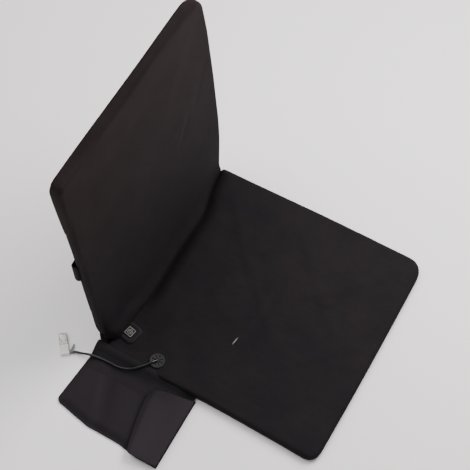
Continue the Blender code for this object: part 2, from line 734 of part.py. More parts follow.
def build_cable(looks, parts, seat, entry):
    """The free cable from the grommet to the plug, and its tail inside the pad up to the controller."""
    top = SEAT_TOP + GAP + GROMMET_HEIGHT - GROMMET_DISH
    start = Vector((GROMMET_X, GROMMET_Y, top + GAP + CABLE_DIAMETER / 4))
    route = [(-(HALF_WIDTH + out), y, z) for out, y, z in CABLE_ROUTE]
    points = smooth_route([start, *route, *entry], CABLE_POINTS)
    tube(points, CABLE_DIAMETER, "power_cable", looks["cable"], seat)
    length = sum((b - a).length for a, b in zip(points, points[1:]))
    print(f"free cable {length:.4f} m, lowest axis point {min(p.z for p in points):.4f} m")

    turn = Matrix.Rotation(CONTROL_YAW, 3, "Z")
    front = turn @ Vector((0, -1, 0))
    centre = Vector((CONTROL_X, CONTROL_Y, INNER_CABLE_HEIGHT))
    wall = centre + front * (BOX_SIDE / 2 + 2 * GAP + INNER_CABLE_DIAMETER / 2)
    below = Vector((GROMMET_X, GROMMET_Y, INNER_CABLE_HEIGHT))
    sideways = (below - wall).normalized()
    beginning = wall + sideways * INNER_CABLE_DIAMETER / 2
    tube([beginning, below], INNER_CABLE_DIAMETER, "inner_cable", looks["cable"], seat)
    across = Vector((-sideways.y, sideways.x, 0)) * (INNER_CABLE_DIAMETER / 2 + GAP)
    tail = below + sideways * INNER_CABLE_DIAMETER / 2
    head = beginning - sideways * INNER_CABLE_DIAMETER
    channel = [head - across, tail - across, tail + across, head + across]
    low = INNER_CABLE_HEIGHT - INNER_CABLE_DIAMETER / 2 - GAP
    cut(parts["foam"], prism(channel, low, SEAT_TOP, "cable_channel", looks["cable"], seat))


# USB plug

def build_plug(looks, seat):
    """Side-entry overmould, strain relief, shell, tongue and clear cap. Returns the cable's last route points."""
    place = Matrix.Translation((PLUG_X, PLUG_Y, 0)) @ Matrix.Rotation(PLUG_YAW, 4, "Z")
    frame = empty("plug_place", place, seat)

    def block(start, end, width, height, corner, steps=3):
        """Rings across the plug's axis, from start to end along X."""
        outline = rounded_rect(width, height, corner, 0, steps)
        return [[Vector((x, p.x, PLUG_MID + p.y)) for p in outline] for x in (start, end)]

    body = loft(block(0, PLUG_LENGTH, PLUG_WIDTH, PLUG_HEIGHT, PLUG_ROUND), "plug_overmould", looks["white"], frame)
    mouth = PLUG_LENGTH - SHELL_SINK - GAP
    socket = block(mouth, PLUG_LENGTH + CUT_OVERRUN, SHELL_WIDTH + 2 * GAP, SHELL_HEIGHT + 2 * GAP, SHELL_CORNER)
    cut(body, loft(socket, "shell_socket", looks["white"], frame))

    start = PLUG_LENGTH - SHELL_SINK
    end = start + SHELL_LENGTH
    shell = loft(block(start, end, SHELL_WIDTH, SHELL_HEIGHT, SHELL_CORNER), "usb_shell", looks["steel"], frame)
    inner_width = SHELL_WIDTH - 2 * SHELL_WALL
    inner_height = SHELL_HEIGHT - 2 * SHELL_WALL
    hollow = block(start + SHELL_WALL, end + CUT_OVERRUN, inner_width, inner_height, SHELL_CORNER / 2)
    cut(shell, loft(hollow, "shell_hollow", looks["steel"], frame))
    for side in (-1, 1):
        centre = Vector((start + SHELL_SINK + WINDOW_ALONG, side * WINDOW_ACROSS, 0))
        outline = [point + centre for point in rounded_rect(WINDOW_SIDE, WINDOW_SIDE, WINDOW_SIDE / 6, 0, 1)]
        name = f"shell_window_{'left' if side > 0 else 'right'}"
        cut(shell, prism(outline, PLUG_MID, PLUG_MID + SHELL_HEIGHT, name, looks["steel"], frame))
    low = PLUG_MID - inner_height / 2 + GAP
    tongue = rounded_rect(SHELL_LENGTH - SHELL_WALL - GAP - TONGUE_SET_IN, TONGUE_WIDTH, SHELL_CORNER / 2, 0, 2)
    middle = start + SHELL_WALL + GAP + (SHELL_LENGTH - SHELL_WALL - GAP - TONGUE_SET_IN) / 2
    tongue = [point + Vector((middle, 0, 0)) for point in tongue]
    prism(tongue, low, low + TONGUE_THICKNESS, "usb_tongue", looks["white"], frame)

    cap_start = PLUG_LENGTH + GAP
    slide = empty("plug_cap_place", place @ Matrix.Translation((cap_start, 0, 0)), None)
    slide.parent = seat
    width = SHELL_WIDTH + 2 * CAP_FIT
    height = SHELL_HEIGHT + 2 * CAP_FIT
    outer = block(0, CAP_LENGTH, width + 2 * CAP_SHELL_WALL, height + 2 * CAP_SHELL_WALL, PLUG_ROUND)
    cap = loft(outer, "plug_cap", looks["clear"], slide)
    bore = block(-CUT_OVERRUN, CAP_LENGTH - CAP_SHELL_WALL, width, height, SHELL_CORNER)
    cut(cap, loft(bore, "cap_bore", looks["clear"], slide))

    tilt = PLUG_YAW - RELIEF_YAW - math.pi / 2
    side = -PLUG_WIDTH / 2 - GAP
    relief = Matrix.Translation((RELIEF_SEAT, side, PLUG_MID)) @ Matrix.Rotation(RELIEF_YAW - PLUG_YAW, 4, "Z")
    lead_in = RELIEF_ROOT * math.tan(tilt)
    axis = relief.to_3x3() @ Vector((1, 0, 0))
    rows = 2 * RELIEF_BEADS
    rings = []
    for row in range(rows + 1):
        share = row / rows
        radius = RELIEF_ROOT + (RELIEF_NOSE - RELIEF_ROOT) * share - (RELIEF_BEAD if row % 2 else 0)
        along = lead_in + share * (RELIEF_LENGTH - lead_in)
        turns = [2 * math.pi * i / RELIEF_SIDES for i in range(RELIEF_SIDES)]
        rings.append([relief @ Vector((along, radius * math.cos(a), radius * math.sin(a))) for a in turns])
    foot = [point + axis * (side - point.y) / axis.y for point in rings[0]]
    rings.insert(0, foot)
    loft(rings, "strain_relief", looks["cable"], frame)
    tip = place @ relief @ Vector((RELIEF_LENGTH + GAP, 0, 0))
    before = place @ relief @ Vector((RELIEF_LENGTH + GAP + CABLE_DIAMETER, 0, 0))
    return [before, tip]


# Side pouch

def build_pouch(looks, seat):
    """Two sheets with the pocket between them, swinging on the seat's lower edge, and a flap on the front fold."""
    pouch = empty("pouch_pivot", Matrix.Translation((POUCH_X + SEAM_TAPE / 2, 0, 0)), seat)
    inner = -SEAM_TAPE / 2
    outer = inner - POUCH_WIDTH
    middle = (inner + outer) / 2
    centre_y = (POUCH_REAR + POUCH_FRONT) / 2

    near, far = -(HALF_WIDTH + GAP), -(HALF_WIDTH + GAP + SEAM_TAPE)
    tape = [(far, POUCH_FRONT), (near, POUCH_FRONT), (near, -FOLD_CORNER), (far, -FOLD_CORNER)]
    prism(tape, COVER_FOOT, COVER_FOOT + SEAM_TAPE_HEIGHT, "pouch_seam_tape", looks["tape"], seat)

    rise = LIP_TOP
    profile = [(POUCH_REAR, 0), (POUCH_FRONT + SHEET, 0), (POUCH_FRONT, SHEET), (POUCH_FRONT, rise)]
    profile += [(POUCH_FRONT + SHEET, rise), (POUCH_FRONT + SHEET, 2 * SHEET), (POUCH_FRONT + 2 * SHEET, SHEET)]
    profile += [(POUCH_REAR, SHEET)]
    back = extrusion(profile, outer, inner, "pouch_back_sheet", looks["pouch"], pouch)
    corner_cut(back, outer, POUCH_REAR, POUCH_CORNER, -CUT_OVERRUN, rise, looks, pouch)

    front_end = POUCH_FRONT + MOUTH_THROAT
    low = SHEET + GAP
    length = POUCH_REAR - front_end
    middle_y = (POUCH_REAR + front_end) / 2

    def tray_ring(inset, height, front_run):
        outline = rounded_rect(POUCH_WIDTH - 2 * inset, length + front_run - inset, POUCH_CORNER, height)
        shift = Vector((middle, middle_y - (front_run + inset) / 2, 0))
        return [point + shift for point in outline]

    run = 2 * POUCH_CORNER
    shares = ((0, 0), (0.15, 0.45), (0.5, 0.85), (1, 1))
    height = POUCH_TOP - low
    rings = [tray_ring(POUCH_SLOPE * across, low + height * up, run) for across, up in shares]
    front = loft(rings, "pouch_front_sheet", looks["pouch"], pouch)
    space = POUCH_SPACE + CUT_OVERRUN
    rings = [
        tray_ring(SHEET + POUCH_SLOPE * across, low - CUT_OVERRUN + space * up, 2 * run)
        for across, up in shares
    ]
    cut(front, loft(rings, "pocket_space", looks["pouch"], pouch))
    left, right, ahead = outer - run, inner + run, front_end - 2 * run
    outline = [(left, front_end), (right, front_end), (right, ahead), (left, ahead)]
    cut(front, prism(outline, -CUT_OVERRUN, POUCH_TOP + CUT_OVERRUN, "mouth_trim", looks["pouch"], pouch))

    flap = empty("flap_pivot", Matrix.Translation((middle, POUCH_FRONT, FLAP_AXIS)), pouch)
    sheet = flap_outline()
    piece = prism(sheet, -SHEET / 2, SHEET / 2, "pouch_flap", looks["pouch"], flap)
    soften(piece, SHEET / 3)
    turn = Matrix.Rotation(FLAP_SKEW, 4, "Z")
    reach = FLAP_REACH - FASTENER_SET_IN - FASTENER_WIDTH / 2
    patch = rounded_rect(FASTENER_LENGTH, FASTENER_WIDTH, FASTENER_THICKNESS, 0, 2)
    patch = [turn @ (point + Vector((0, reach, 0))) for point in patch]
    high = -SHEET / 2 - GAP
    prism(patch, high - FASTENER_THICKNESS, high, "flap_hook_patch", looks["tape"], flap)
    loop = [point + Vector((middle, POUCH_FRONT, 0)) for point in patch]
    low = POUCH_TOP + GAP
    prism(loop, low, low + FASTENER_THICKNESS, "pouch_loop_patch", looks["tape"], pouch)


def flap_outline():
    """The flap from its root on the fold, a little askew and narrowing to rounded corners."""
    turn = Matrix.Rotation(FLAP_SKEW, 4, "Z")
    root = FLAP_ROOT_WIDTH / 2
    free = FLAP_FREE_WIDTH / 2
    points = [Vector((-root, 0, 0)), Vector((root, 0, 0))]
    for side, first in ((1, 0), (-1, math.pi / 2)):
        centre = Vector((side * (free - FLAP_CORNER), FLAP_REACH - FLAP_CORNER, 0))
        for step in range(CORNER_STEPS + 1):
            angle = first + math.pi / 2 * step / CORNER_STEPS
            points.append(turn @ (centre + FLAP_CORNER * Vector((math.cos(angle), math.sin(angle), 0))))
    return points


def corner_cut(obj, x, y, radius, low, high, looks, parent):
    """Rounds one upright corner, at the outer end of a sheet's rear edge."""
    centre = Vector((x + radius, y - radius, 0))
    outline = [Vector((x - CUT_OVERRUN, y - radius, 0)), centre - Vector((radius, 0, 0))]
    for step in range(1, CORNER_STEPS):
        angle = math.pi - math.pi / 2 * step / CORNER_STEPS
        outline.append(centre + radius * Vector((math.cos(angle), math.sin(angle), 0)))
    outline += [centre + Vector((0, radius, 0)), Vector((x + radius, y + CUT_OVERRUN, 0))]
    outline += [Vector((x - CUT_OVERRUN, y + CUT_OVERRUN, 0))]
    cut(obj, prism(outline, low, high, f"{obj.name}_corner", looks["pouch"], parent))


# Elastic strap

def build_strap(looks, pivot):
    """Elastic band across the rear, sewn to both side edges with a small slack bow at each end."""
    rear = -GAP
    seam = PANEL_EDGE / 2
    centre = (rear - STRAP_THICKNESS + seam) / 2
    tall = (seam - rear + STRAP_THICKNESS) / 2
    outer = []
    inner = []
    for i in range(STRAP_STEPS + 1):
        angle = math.pi / 2 - math.pi * i / STRAP_STEPS
        outer.append((GAP + STRAP_BOW * math.cos(angle), centre + tall * math.sin(angle)))
        across = (STRAP_BOW - STRAP_THICKNESS) * math.cos(angle)
        inner.append((GAP + across, centre + (tall - STRAP_THICKNESS) * math.sin(angle)))
    bow = outer[::-1] + inner
    widest = STRAP_CENTRE + STRAP_WIDTH / 2
    right, left = BACK.half_at(1, widest), BACK.half_at(-1, widest)
    profile = [(right + out, height) for out, height in bow]
    profile += [(-(left + out), height) for out, height in reversed(bow)]
    low = STRAP_CENTRE - STRAP_WIDTH / 2
    rings = [
        [standing((across, along, height)) for across, height in profile] for along in (low, low + STRAP_WIDTH)
    ]
    loft(rings, "rear_elastic_strap", looks["tape"], pivot)


def make_looks():
    return {
        "fabric": material("brushed fabric", (0.022, 0.019, 0.021), 0.92),
        "grip": material("dotted grip fabric", (0.016, 0.015, 0.016), 0.85),
        "pouch": material("pouch fabric", (0.026, 0.023, 0.026), 0.88),
        "tape": material("woven tape", (0.014, 0.013, 0.014), 0.8),
        "foam": material("foam", (0.55, 0.53, 0.48), 0.95),
        "felt": material("white felt", (0.75, 0.74, 0.70), 0.95),
        "wire": material("carbon wire", (0.03, 0.03, 0.03), 0.5),
        "rubber": material("black rubber", (0.02, 0.02, 0.021), 0.55),
        "grommet": material("grey rubber", (0.05, 0.05, 0.052), 0.5),
        "cable": material("cable jacket", (0.025, 0.025, 0.027), 0.35),
        "dark_plastic": material("dark plastic", (0.03, 0.03, 0.032), 0.45),
        "board": material("circuit board", (0.02, 0.12, 0.05), 0.5),
        "steel": material("nickel-plated steel", (0.72, 0.71, 0.69), 0.25, metallic=1.0),
        "white": material("white plastic", (0.82, 0.82, 0.80), 0.35),
        "clear": material("clear plastic", (0.93, 0.94, 0.95), 0.12, transmission=0.9),
    }


def main():
    clear_scene()
    looks = make_looks()
    seat = empty("fold_frame", Matrix.Translation((0, SEAT_DEPTH / 2, 0)))
    tilt = Matrix.Translation((0, 0, AXIS_HEIGHT)) @ Matrix.Rotation(-LEAN, 4, "X")
    pivot = empty("back_pivot", tilt, seat)
    lead_x = CONTROL_X + BOX_SIDE * 3 / 4
    seat_lead = [(lead_x, -CONTROL_Y), (lead_x, SEAT_WIRE_START - WIRE_PITCH / 3)]
    parts = build_panel(
        "seat", SEAT, lying, {**looks, "front": "top_cover", "rear": "grip_base"}, seat, SEAT_WIRE_START,
        SEAT_WIRE_PASSES, seat_lead,
    )
    back_lead = [(-WIRE_HALF_SPAN, FELT_INSET * 2)]
    build_panel(
        "back", BACK, standing, {**looks, "front": "front_cover", "rear": "rear_cover", "grip": looks["fabric"]},
        pivot, BACK_WIRE_START, BACK_WIRE_PASSES, back_lead,
    )
    build_fold(looks, seat, pivot)
    build_controller(looks, parts, seat)
    build_grommet(looks, parts, seat)
    entry = build_plug(looks, seat)
    build_cable(looks, parts, seat, entry)
    build_pouch(looks, seat)
    build_strap(looks, pivot)


main()
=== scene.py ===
"""Heated folding seat pad dressed for its photograph: two brushed black cushions, the soft fold between them, the
push-button heat controller, the grommet with its cable and plug, and the side pouch with its flap. Metres, Z up."""

import logging
import math
from collections.abc import Callable
from dataclasses import dataclass
from enum import Enum

import bmesh
import bpy
import numpy as np
from bmesh.types import BMesh
from bpy.types import Material, NodeSocket, NodeTree, Object
from mathutils import Matrix, Vector, noise
from mathutils.bvhtree import BVHTree


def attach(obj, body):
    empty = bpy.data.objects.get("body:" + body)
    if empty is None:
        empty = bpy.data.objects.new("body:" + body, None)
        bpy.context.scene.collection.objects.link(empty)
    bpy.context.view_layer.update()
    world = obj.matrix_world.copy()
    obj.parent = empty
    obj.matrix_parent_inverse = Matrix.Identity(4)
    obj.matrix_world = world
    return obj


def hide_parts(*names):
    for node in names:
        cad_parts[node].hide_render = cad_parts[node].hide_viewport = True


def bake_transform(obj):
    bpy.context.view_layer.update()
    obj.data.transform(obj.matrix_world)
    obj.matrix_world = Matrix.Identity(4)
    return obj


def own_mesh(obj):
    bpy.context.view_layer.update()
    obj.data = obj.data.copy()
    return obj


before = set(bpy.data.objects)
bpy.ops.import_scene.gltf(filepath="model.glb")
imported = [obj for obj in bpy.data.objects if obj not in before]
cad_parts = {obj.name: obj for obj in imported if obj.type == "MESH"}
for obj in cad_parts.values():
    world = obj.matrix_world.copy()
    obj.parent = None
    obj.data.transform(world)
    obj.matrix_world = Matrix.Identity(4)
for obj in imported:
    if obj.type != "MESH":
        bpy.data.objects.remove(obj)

log = logging.getLogger("seat_pad")

FOLD_Y = 0.200
AXIS_HEIGHT = 0.025
LEAN = math.radians(2.4)
SEAT_TOP = 0.018
GAP = 0.0003
CABLE_WIDTH = 0.004
POUCH_INNER = -0.2018
POUCH_FRONT = 0.023
POUCH_REAR = 0.218
POUCH_TOP = 0.0095

Place = Callable[[float, float], Vector]
Table = tuple[tuple[float, float], ...]
Triple = tuple[float, float, float]


class Body(Enum):
    """The moving bodies that a piece can ride on."""

    SEAT = "seat"
    BACK = "back"
    BUTTON = "button"
    CAP = "cap"
    POUCH = "pouch"
    FLAP = "flap"


# Shared tools


def ease(low: float, high: float, value: float | np.ndarray) -> float | np.ndarray:
    """Smooth step from 0 at low to 1 at high.

    Args:
        low: Where the step starts.
        high: Where it ends.
        value: One number or an array.

    Returns:
        The step's height at value.
    """
    t = np.clip((value - low) / (high - low), 0, 1)
    return t * t * (3 - 2 * t)


def read(table: Table, at: float | np.ndarray) -> float | np.ndarray:
    """Reads a table of places and values at one place or at an array of them, straight between its rows."""
    return np.interp(at, *zip(*table))


def smooth_path(points: list[tuple[float, ...]], count: int) -> list[Vector]:
    """Reads evenly spaced points from a smooth curve through the given ones.

    Args:
        points: The curve's route points.
        count: How many spans the result has.

    Returns:
        count + 1 points.
    """
    route = [Vector(point) for point in points]
    ends = [2 * route[0] - route[1], *route, 2 * route[-1] - route[-2]]
    fine = []
    for i in range(1, len(ends) - 2):
        before, start, end, after = ends[i - 1 : i + 3]
        for step in range(count):
            t = step / count
            fine.append(
                (2 * t**3 - 3 * t**2 + 1) * start
                + (t**3 - 2 * t**2 + t) * (end - before) / 2
                + (3 * t**2 - 2 * t**3) * end
                + (t**3 - t**2) * (after - start) / 2
            )
    fine.append(route[-1])
    spans = [(b - a).length for a, b in zip(fine, fine[1:])]
    total = sum(spans)
    made, walked, span = [fine[0]], 0.0, 0
    for step in range(1, count):
        target = total * step / count
        while walked + spans[span] < target:
            walked += spans[span]
            span += 1
        made.append(fine[span].lerp(fine[span + 1], (target - walked) / spans[span]))
    made.append(fine[-1])
    return made


def on_path(points: list[Vector], share: float) -> Vector:
    """Finds the place at a share, 0 to 1, of a row of evenly spaced points."""
    spans = len(points) - 1
    at = min(int(share * spans), spans - 1)
    return points[at].lerp(points[at + 1], share * spans - at)


def linked(name: str, data: bpy.types.ID) -> Object:
    """Makes an object of its data and links it to the scene."""
    obj = bpy.data.objects.new(name, data)
    bpy.context.scene.collection.objects.link(obj)
    return obj


def write_mesh(bm: BMesh, mesh: bpy.types.Mesh, recalc: bool = True) -> None:
    """Writes a bmesh into a mesh, smooth-shaded, and frees it.

    Args:
        bm: The bmesh.
        mesh: The mesh.
        recalc: Whether the faces are turned outwards first.
    """
    if recalc:
        bmesh.ops.recalc_face_normals(bm, faces=bm.faces)
    for face in bm.faces:
        face.smooth = True
    bm.to_mesh(mesh)
    bm.free()


def finish_mesh(bm: BMesh, name: str, recalc: bool = True) -> Object:
    """Turns a bmesh into a smooth-shaded object at the origin."""
    obj = linked(name, bpy.data.meshes.new(name))
    write_mesh(bm, obj.data, recalc)
    return obj


def surface(name: str, across: int, along: int, place: Place, outward: Triple) -> Object:
    """Makes an open sheet from a grid whose points are moved into place.

    Args:
        name: The object's name.
        across: Steps along the first direction.
        along: Steps along the second one.
        place: Gives the place of a point from its two shares, 0 to 1.
        outward: The side that its faces look towards.

    Returns:
        The sheet.
    """
    bm = bmesh.new()
    bmesh.ops.create_grid(bm, x_segments=across, y_segments=along, size=0.5)
    for vert in bm.verts:
        vert.co = place(vert.co.x + 0.5, vert.co.y + 0.5)
    bm.normal_update()
    if sum(face.normal.dot(Vector(outward)) * face.calc_area() for face in bm.faces) < 0:
        bmesh.ops.reverse_faces(bm, faces=bm.faces)
    return finish_mesh(bm, name, recalc=False)


def thicken(obj: Object, thickness: float, offset: float = -1.0) -> None:
    """Gives a sheet its wall, in metres: -1 grows it behind the faces and 0 to both sides."""
    wall = obj.modifiers.new("wall", "SOLIDIFY")
    wall.thickness = thickness
    wall.offset = offset


def soften(obj: Object) -> None:
    """Subdivides a cloth once."""
    smooth = obj.modifiers.new("soft cloth", "SUBSURF")
    smooth.levels = smooth.render_levels = 1


def settled(obj: Object) -> Object:
    """Replaces an object's mesh by what its modifiers make of it, and removes them."""
    graph = bpy.context.evaluated_depsgraph_get()
    mesh = bpy.data.meshes.new_from_object(obj.evaluated_get(graph))
    obj.modifiers.clear()
    obj.data = mesh
    return obj


def points_of(obj: Object) -> np.ndarray:
    """Reads a mesh's points as an array of rows."""
    co = np.empty(len(obj.data.vertices) * 3)
    obj.data.vertices.foreach_get("co", co)
    return co.reshape(-1, 3)


def move_points(obj: Object, points: np.ndarray) -> None:
    """Writes an array of rows back into a mesh."""
    obj.data.vertices.foreach_set("co", points.ravel())
    obj.data.update()


def mark_painted_light_and_tone(obj: Object, share: np.ndarray) -> None:
    """Writes how much lighter (+) or darker (-) the cloth is drawn at each point of a mesh: painted shade, painted
    light, and the darker nap of end bands.
    """
    marks = obj.data.attributes.new("painted_light_and_nap_tone", "FLOAT", "POINT")
    marks.data.foreach_set("value", share.astype(np.float32))


def ring_points(width: float, depth: float, radius: float, steps: int, height: float = 0.0) -> list[Vector]:
    """Outline of a rounded rectangle about the Z axis.

    Args:
        width: Its size along X.
        depth: Its size along Y.
        radius: Its corners' radius.
        steps: Steps in each corner.
        height: Its Z.

    Returns:
        The outline's points, anticlockwise.
    """
    points = []
    for quarter, (sx, sy) in enumerate(((1, 1), (-1, 1), (-1, -1), (1, -1))):
        for step in range(steps + 1):
            angle = math.pi / 2 * (quarter + step / steps)
            centre = Vector((sx * (width / 2 - radius), sy * (depth / 2 - radius), height))
            points.append(centre + radius * Vector((math.cos(angle), math.sin(angle), 0)))
    return points


def stack(name: str, rings: list[list[Vector]], place: Matrix, caps: tuple[bool, bool] = (True, True)) -> Object:
    """Bridges a row of closed outlines into a solid.

    Args:
        name: The object's name.
        rings: Outlines with equal numbers of points.
        place: Takes them to their place.
        caps: Whether the first and the last outline are closed with a face.

    Returns:
        The solid.
    """
    bm = bmesh.new()
    loops = []
    for ring in rings:
        verts = [bm.verts.new(place @ point) for point in ring]
        loops.append([bm.edges.new((verts[i - 1], verts[i])) for i in range(len(verts))])
    for lower, upper in zip(loops, loops[1:]):
        bmesh.ops.bridge_loops(bm, edges=lower + upper)
    for loop, closed in zip((loops[0], loops[-1]), caps):
        if closed:
            bmesh.ops.contextual_create(bm, geom=loop)
    return finish_mesh(bm, name)


def turned(name: str, profile: list[tuple[float, float]], place: Matrix, steps: int) -> Object:
    """Spins an open profile of (radius, height) about Z.

    Args:
        name: The object's name.
        profile: The outline, from the axis or rim to the other end.
        place: Takes it to its place.
        steps: Steps round the axis.

    Returns:
        The turned piece.
    """
    bm = bmesh.new()
    verts = [bm.verts.new((radius, 0, height)) for radius, height in profile]
    edges = [bm.edges.new(pair) for pair in zip(verts, verts[1:])]
    turn = {"cent": (0, 0, 0), "axis": (0, 0, 1), "angle": 2 * math.pi}
    bmesh.ops.spin(bm, geom=verts + edges, steps=steps, use_merge=True, **turn)
    bmesh.ops.remove_doubles(bm, verts=bm.verts, dist=1e-6)
    bmesh.ops.transform(bm, matrix=place, verts=bm.verts)
    return finish_mesh(bm, name)


def cord_mesh(name: str, points: list[Vector], width: float) -> Object:
    """Makes a round cord along a row of points.

    Args:
        name: The object's name.
        points: The cord's centre line.
        width: Its diameter.

    Returns:
        A curve object of one spline.
    """
    curve = bpy.data.curves.new(name, "CURVE")
    curve.dimensions = "3D"
    curve.bevel_depth = width / 2
    curve.bevel_resolution = 4
    curve.use_fill_caps = True
    spline = curve.splines.new("POLY")
    spline.points.add(len(points) - 1)
    for point, place in zip(spline.points, points):
        point.co = (*place, 1)
    spline.use_smooth = True
    return linked(name, curve)


def dress(obj: Object, look: Material, body: Body | None, slot: str, *nodes: str) -> Object:
    """Gives a piece its finish, its body and the solids that it stands for.

    Args:
        obj: The piece.
        look: Its material.
        body: The body that it rides on, or None where it lies between two.
        slot: The record's material slot; not used.
        *nodes: The solids that it replaces.

    Returns:
        The same object.
    """
    obj.data.materials.clear()
    obj.data.materials.append(look)
    if body:
        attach(obj, body.value)
    if nodes:
        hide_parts(*nodes)
    log.info("%s: %s", obj.name, ", ".join(nodes) or "new piece")
    return obj


# Finishes


def linear(code: str) -> tuple[float, float, float, float]:
    """Turns an sRGB hex code into a linear colour."""
    parts = [int(code[i : i + 2], 16) / 255 for i in (0, 2, 4)]
    return (*[c / 12.92 if c <= 0.04045 else ((c + 0.055) / 1.055) ** 2.4 for c in parts], 1.0)


def add(tree: NodeTree, kind: str, settings: dict | None = None, links: dict | None = None) -> bpy.types.Node:
    """Adds a node with its settings and links.

    Args:
        tree: The material's node tree.
        kind: The node's type, without its first word.
        settings: Attributes, or sockets by name or number, with their values.
        links: Sockets by name or number, each with the output that feeds it, or with a node for its first output.

    Returns:
        The node.
    """
    node = tree.nodes.new("ShaderNode" + kind)
    for key, value in (settings or {}).items():
        if isinstance(key, str) and hasattr(node, key):
            setattr(node, key, value)
        else:
            node.inputs[key].default_value = value
    for key, source in (links or {}).items():
        tree.links.new(source.outputs[0] if isinstance(source, bpy.types.Node) else source, node.inputs[key])
    return node


@dataclass(frozen=True)
class Finish:
    """What all finishes share: they depend on the place on the piece, and end in one shader."""

    name: str

    def gloss(self) -> dict:
        """Settings of the shader."""
        return {}

    def draw(self, tree: NodeTree, where: NodeSocket) -> dict:
        """Draws what varies over the piece, and gives the shader's inputs that it feeds."""
        return {}

    def make(self) -> Material:
        """Builds the material."""
        made = bpy.data.materials.new(self.name)
        made.use_nodes = True
        tree = made.node_tree
        tree.nodes.clear()
        drawn = self.draw(tree, add(tree, "TexCoord").outputs["Object"])
        shader = add(tree, "BsdfPrincipled", self.gloss(), drawn)
        add(tree, "OutputMaterial", links={"Surface": shader})
        return made


@dataclass(frozen=True)
class Paper(Finish):
    """Matt paper of one tone."""

    tone: str

    def gloss(self) -> dict:
        """Settings of the shader."""
        return {"Base Color": linear(self.tone), "Roughness": 0.9}


@dataclass(frozen=True)
class BrushedFabric(Finish):
    """Brushed polyester: a short raised nap over a fine knit. The nap traps the light, so it has next to no gloss.
    It lies in blotches where it was stroked, and is drawn warmer higher up."""

    warm: str
    cool: str
    warm_from: float = 0.12
    warm_to: float = 0.50
    nap_mm: float = 1.6
    blotch_mm: float = 55
    sheen: float = 0.02
    bump: float = 0.35
    lint: bool = False

    def gloss(self) -> dict:
        """Settings of the shader."""
        sheen = {"Sheen Weight": self.sheen, "Sheen Roughness": 0.45, "Sheen Tint": linear("d8ccd0")}
        return sheen | {"IOR": 1.45, "Specular IOR Level": 0.05}

    def draw(self, tree: NodeTree, where: NodeSocket) -> dict:
        """Draws the nap.

        Args:
            tree: The material's node tree.
            where: The place on the piece.

        Returns:
            The shader's inputs.
        """
        at = {"Vector": where}
        blotch = add(tree, "TexNoise", {"Scale": 1000 / self.blotch_mm, "Detail": 3.0, "Roughness": 0.55}, at)
        # A strand of the nap is 0.02 mm thick, so the nap is drawn as tufts that the picture can show
        nap = add(tree, "TexNoise", {"Scale": 1000 / self.nap_mm, "Detail": 4.0, "Roughness": 0.7}, at)
        stretch = add(tree, "Mapping", {"Rotation": (0, 0, 0.6), "Scale": (1, 0.22, 1)}, at)
        streak = add(tree, "TexNoise", {"Scale": 1000 / (self.nap_mm * 6), "Detail": 3.0}, {"Vector": stretch})

        patch = add(tree, "MapRange", {"From Min": 0.35, "From Max": 0.75, "To Max": 0.35}, {"Value": blotch})
        height = add(tree, "SeparateXYZ", links={0: where}).outputs[2]
        limits = {"From Min": self.warm_from, "From Max": self.warm_to, "To Max": 0.8}
        warmth = add(tree, "MapRange", limits, {"Value": height})
        share = add(tree, "Math", {"operation": "ADD"}, {0: patch, 1: warmth})
        tone = add(tree, "Mix", {"data_type": "RGBA", 6: linear(self.cool), 7: linear(self.warm)}, {0: share})

        # Painted shade in the creases and the fold, painted light on crease ridges and on the back's left side, and the
        # darker nap of end bands, all from the mesh's attribute
        mark = add(tree, "Attribute", {"attribute_name": "painted_light_and_nap_tone"}).outputs["Fac"]
        light = add(tree, "Math", {"operation": "ADD", 1: 1.0}, {0: mark})
        for source, least, most in ((nap, 0.84, 1.16), (streak, 0.95, 1.05), (blotch, 0.92, 1.08)):
            limits = {"From Min": 0.3, "From Max": 0.7, "To Min": least, "To Max": most}
            part = add(tree, "MapRange", limits, {"Value": source})
            light = add(tree, "Math", {"operation": "MULTIPLY"}, {0: light, 1: part})
        multiply = {"data_type": "RGBA", "blend_type": "MULTIPLY", 0: 1.0}
        colour = add(tree, "Mix", multiply, {6: tone.outputs[2], 7: light}).outputs[2]
        if self.lint:
            colour = self.speck(tree, where, colour)

        relief = add(tree, "Math", {"operation": "MULTIPLY_ADD", 1: 2.0}, {0: nap, 2: streak})
        bump = add(tree, "Bump", {"Strength": self.bump, "Distance": self.nap_mm / 4000}, {"Height": relief})
        rough = add(tree, "MapRange", {"To Min": 0.82, "To Max": 0.98}, {"Value": nap})
        return {"Base Color": colour, "Roughness": rough, "Normal": bump}

    def speck(self, tree: NodeTree, where: NodeSocket, colour: NodeSocket) -> NodeSocket:
        """Draws a pale strand of lint that has stuck to the nap.

        Args:
            tree: The material's node tree.
            where: The place on the piece.
            colour: The fabric's colour.

        Returns:
            The colour with the strand.
        """
        size = {"vector_type": "TEXTURE", "Scale": (0.0085, 0.0011, 0.006)}
        lay = {"Location": (-0.0825, 0.0147, 0.020), "Rotation": (0, 0, -0.168)}
        laid = add(tree, "Mapping", size | lay, {"Vector": where})
        away = add(tree, "VectorMath", {"operation": "LENGTH"}, {0: laid}).outputs["Value"]
        patchy = add(tree, "TexNoise", {"Scale": 900.0}, {"Vector": where})
        ragged = add(tree, "Math", {"operation": "MULTIPLY_ADD", 1: 1.2}, {0: patchy, 2: away})
        limits = {"From Min": 1.0, "From Max": 1.7, "To Min": 0.62, "To Max": 0.0}
        mask = add(tree, "MapRange", limits, {"Value": ragged})
        return add(tree, "Mix", {"data_type": "RGBA", 7: linear("a29c9a")}, {0: mask, 6: colour}).outputs[2]


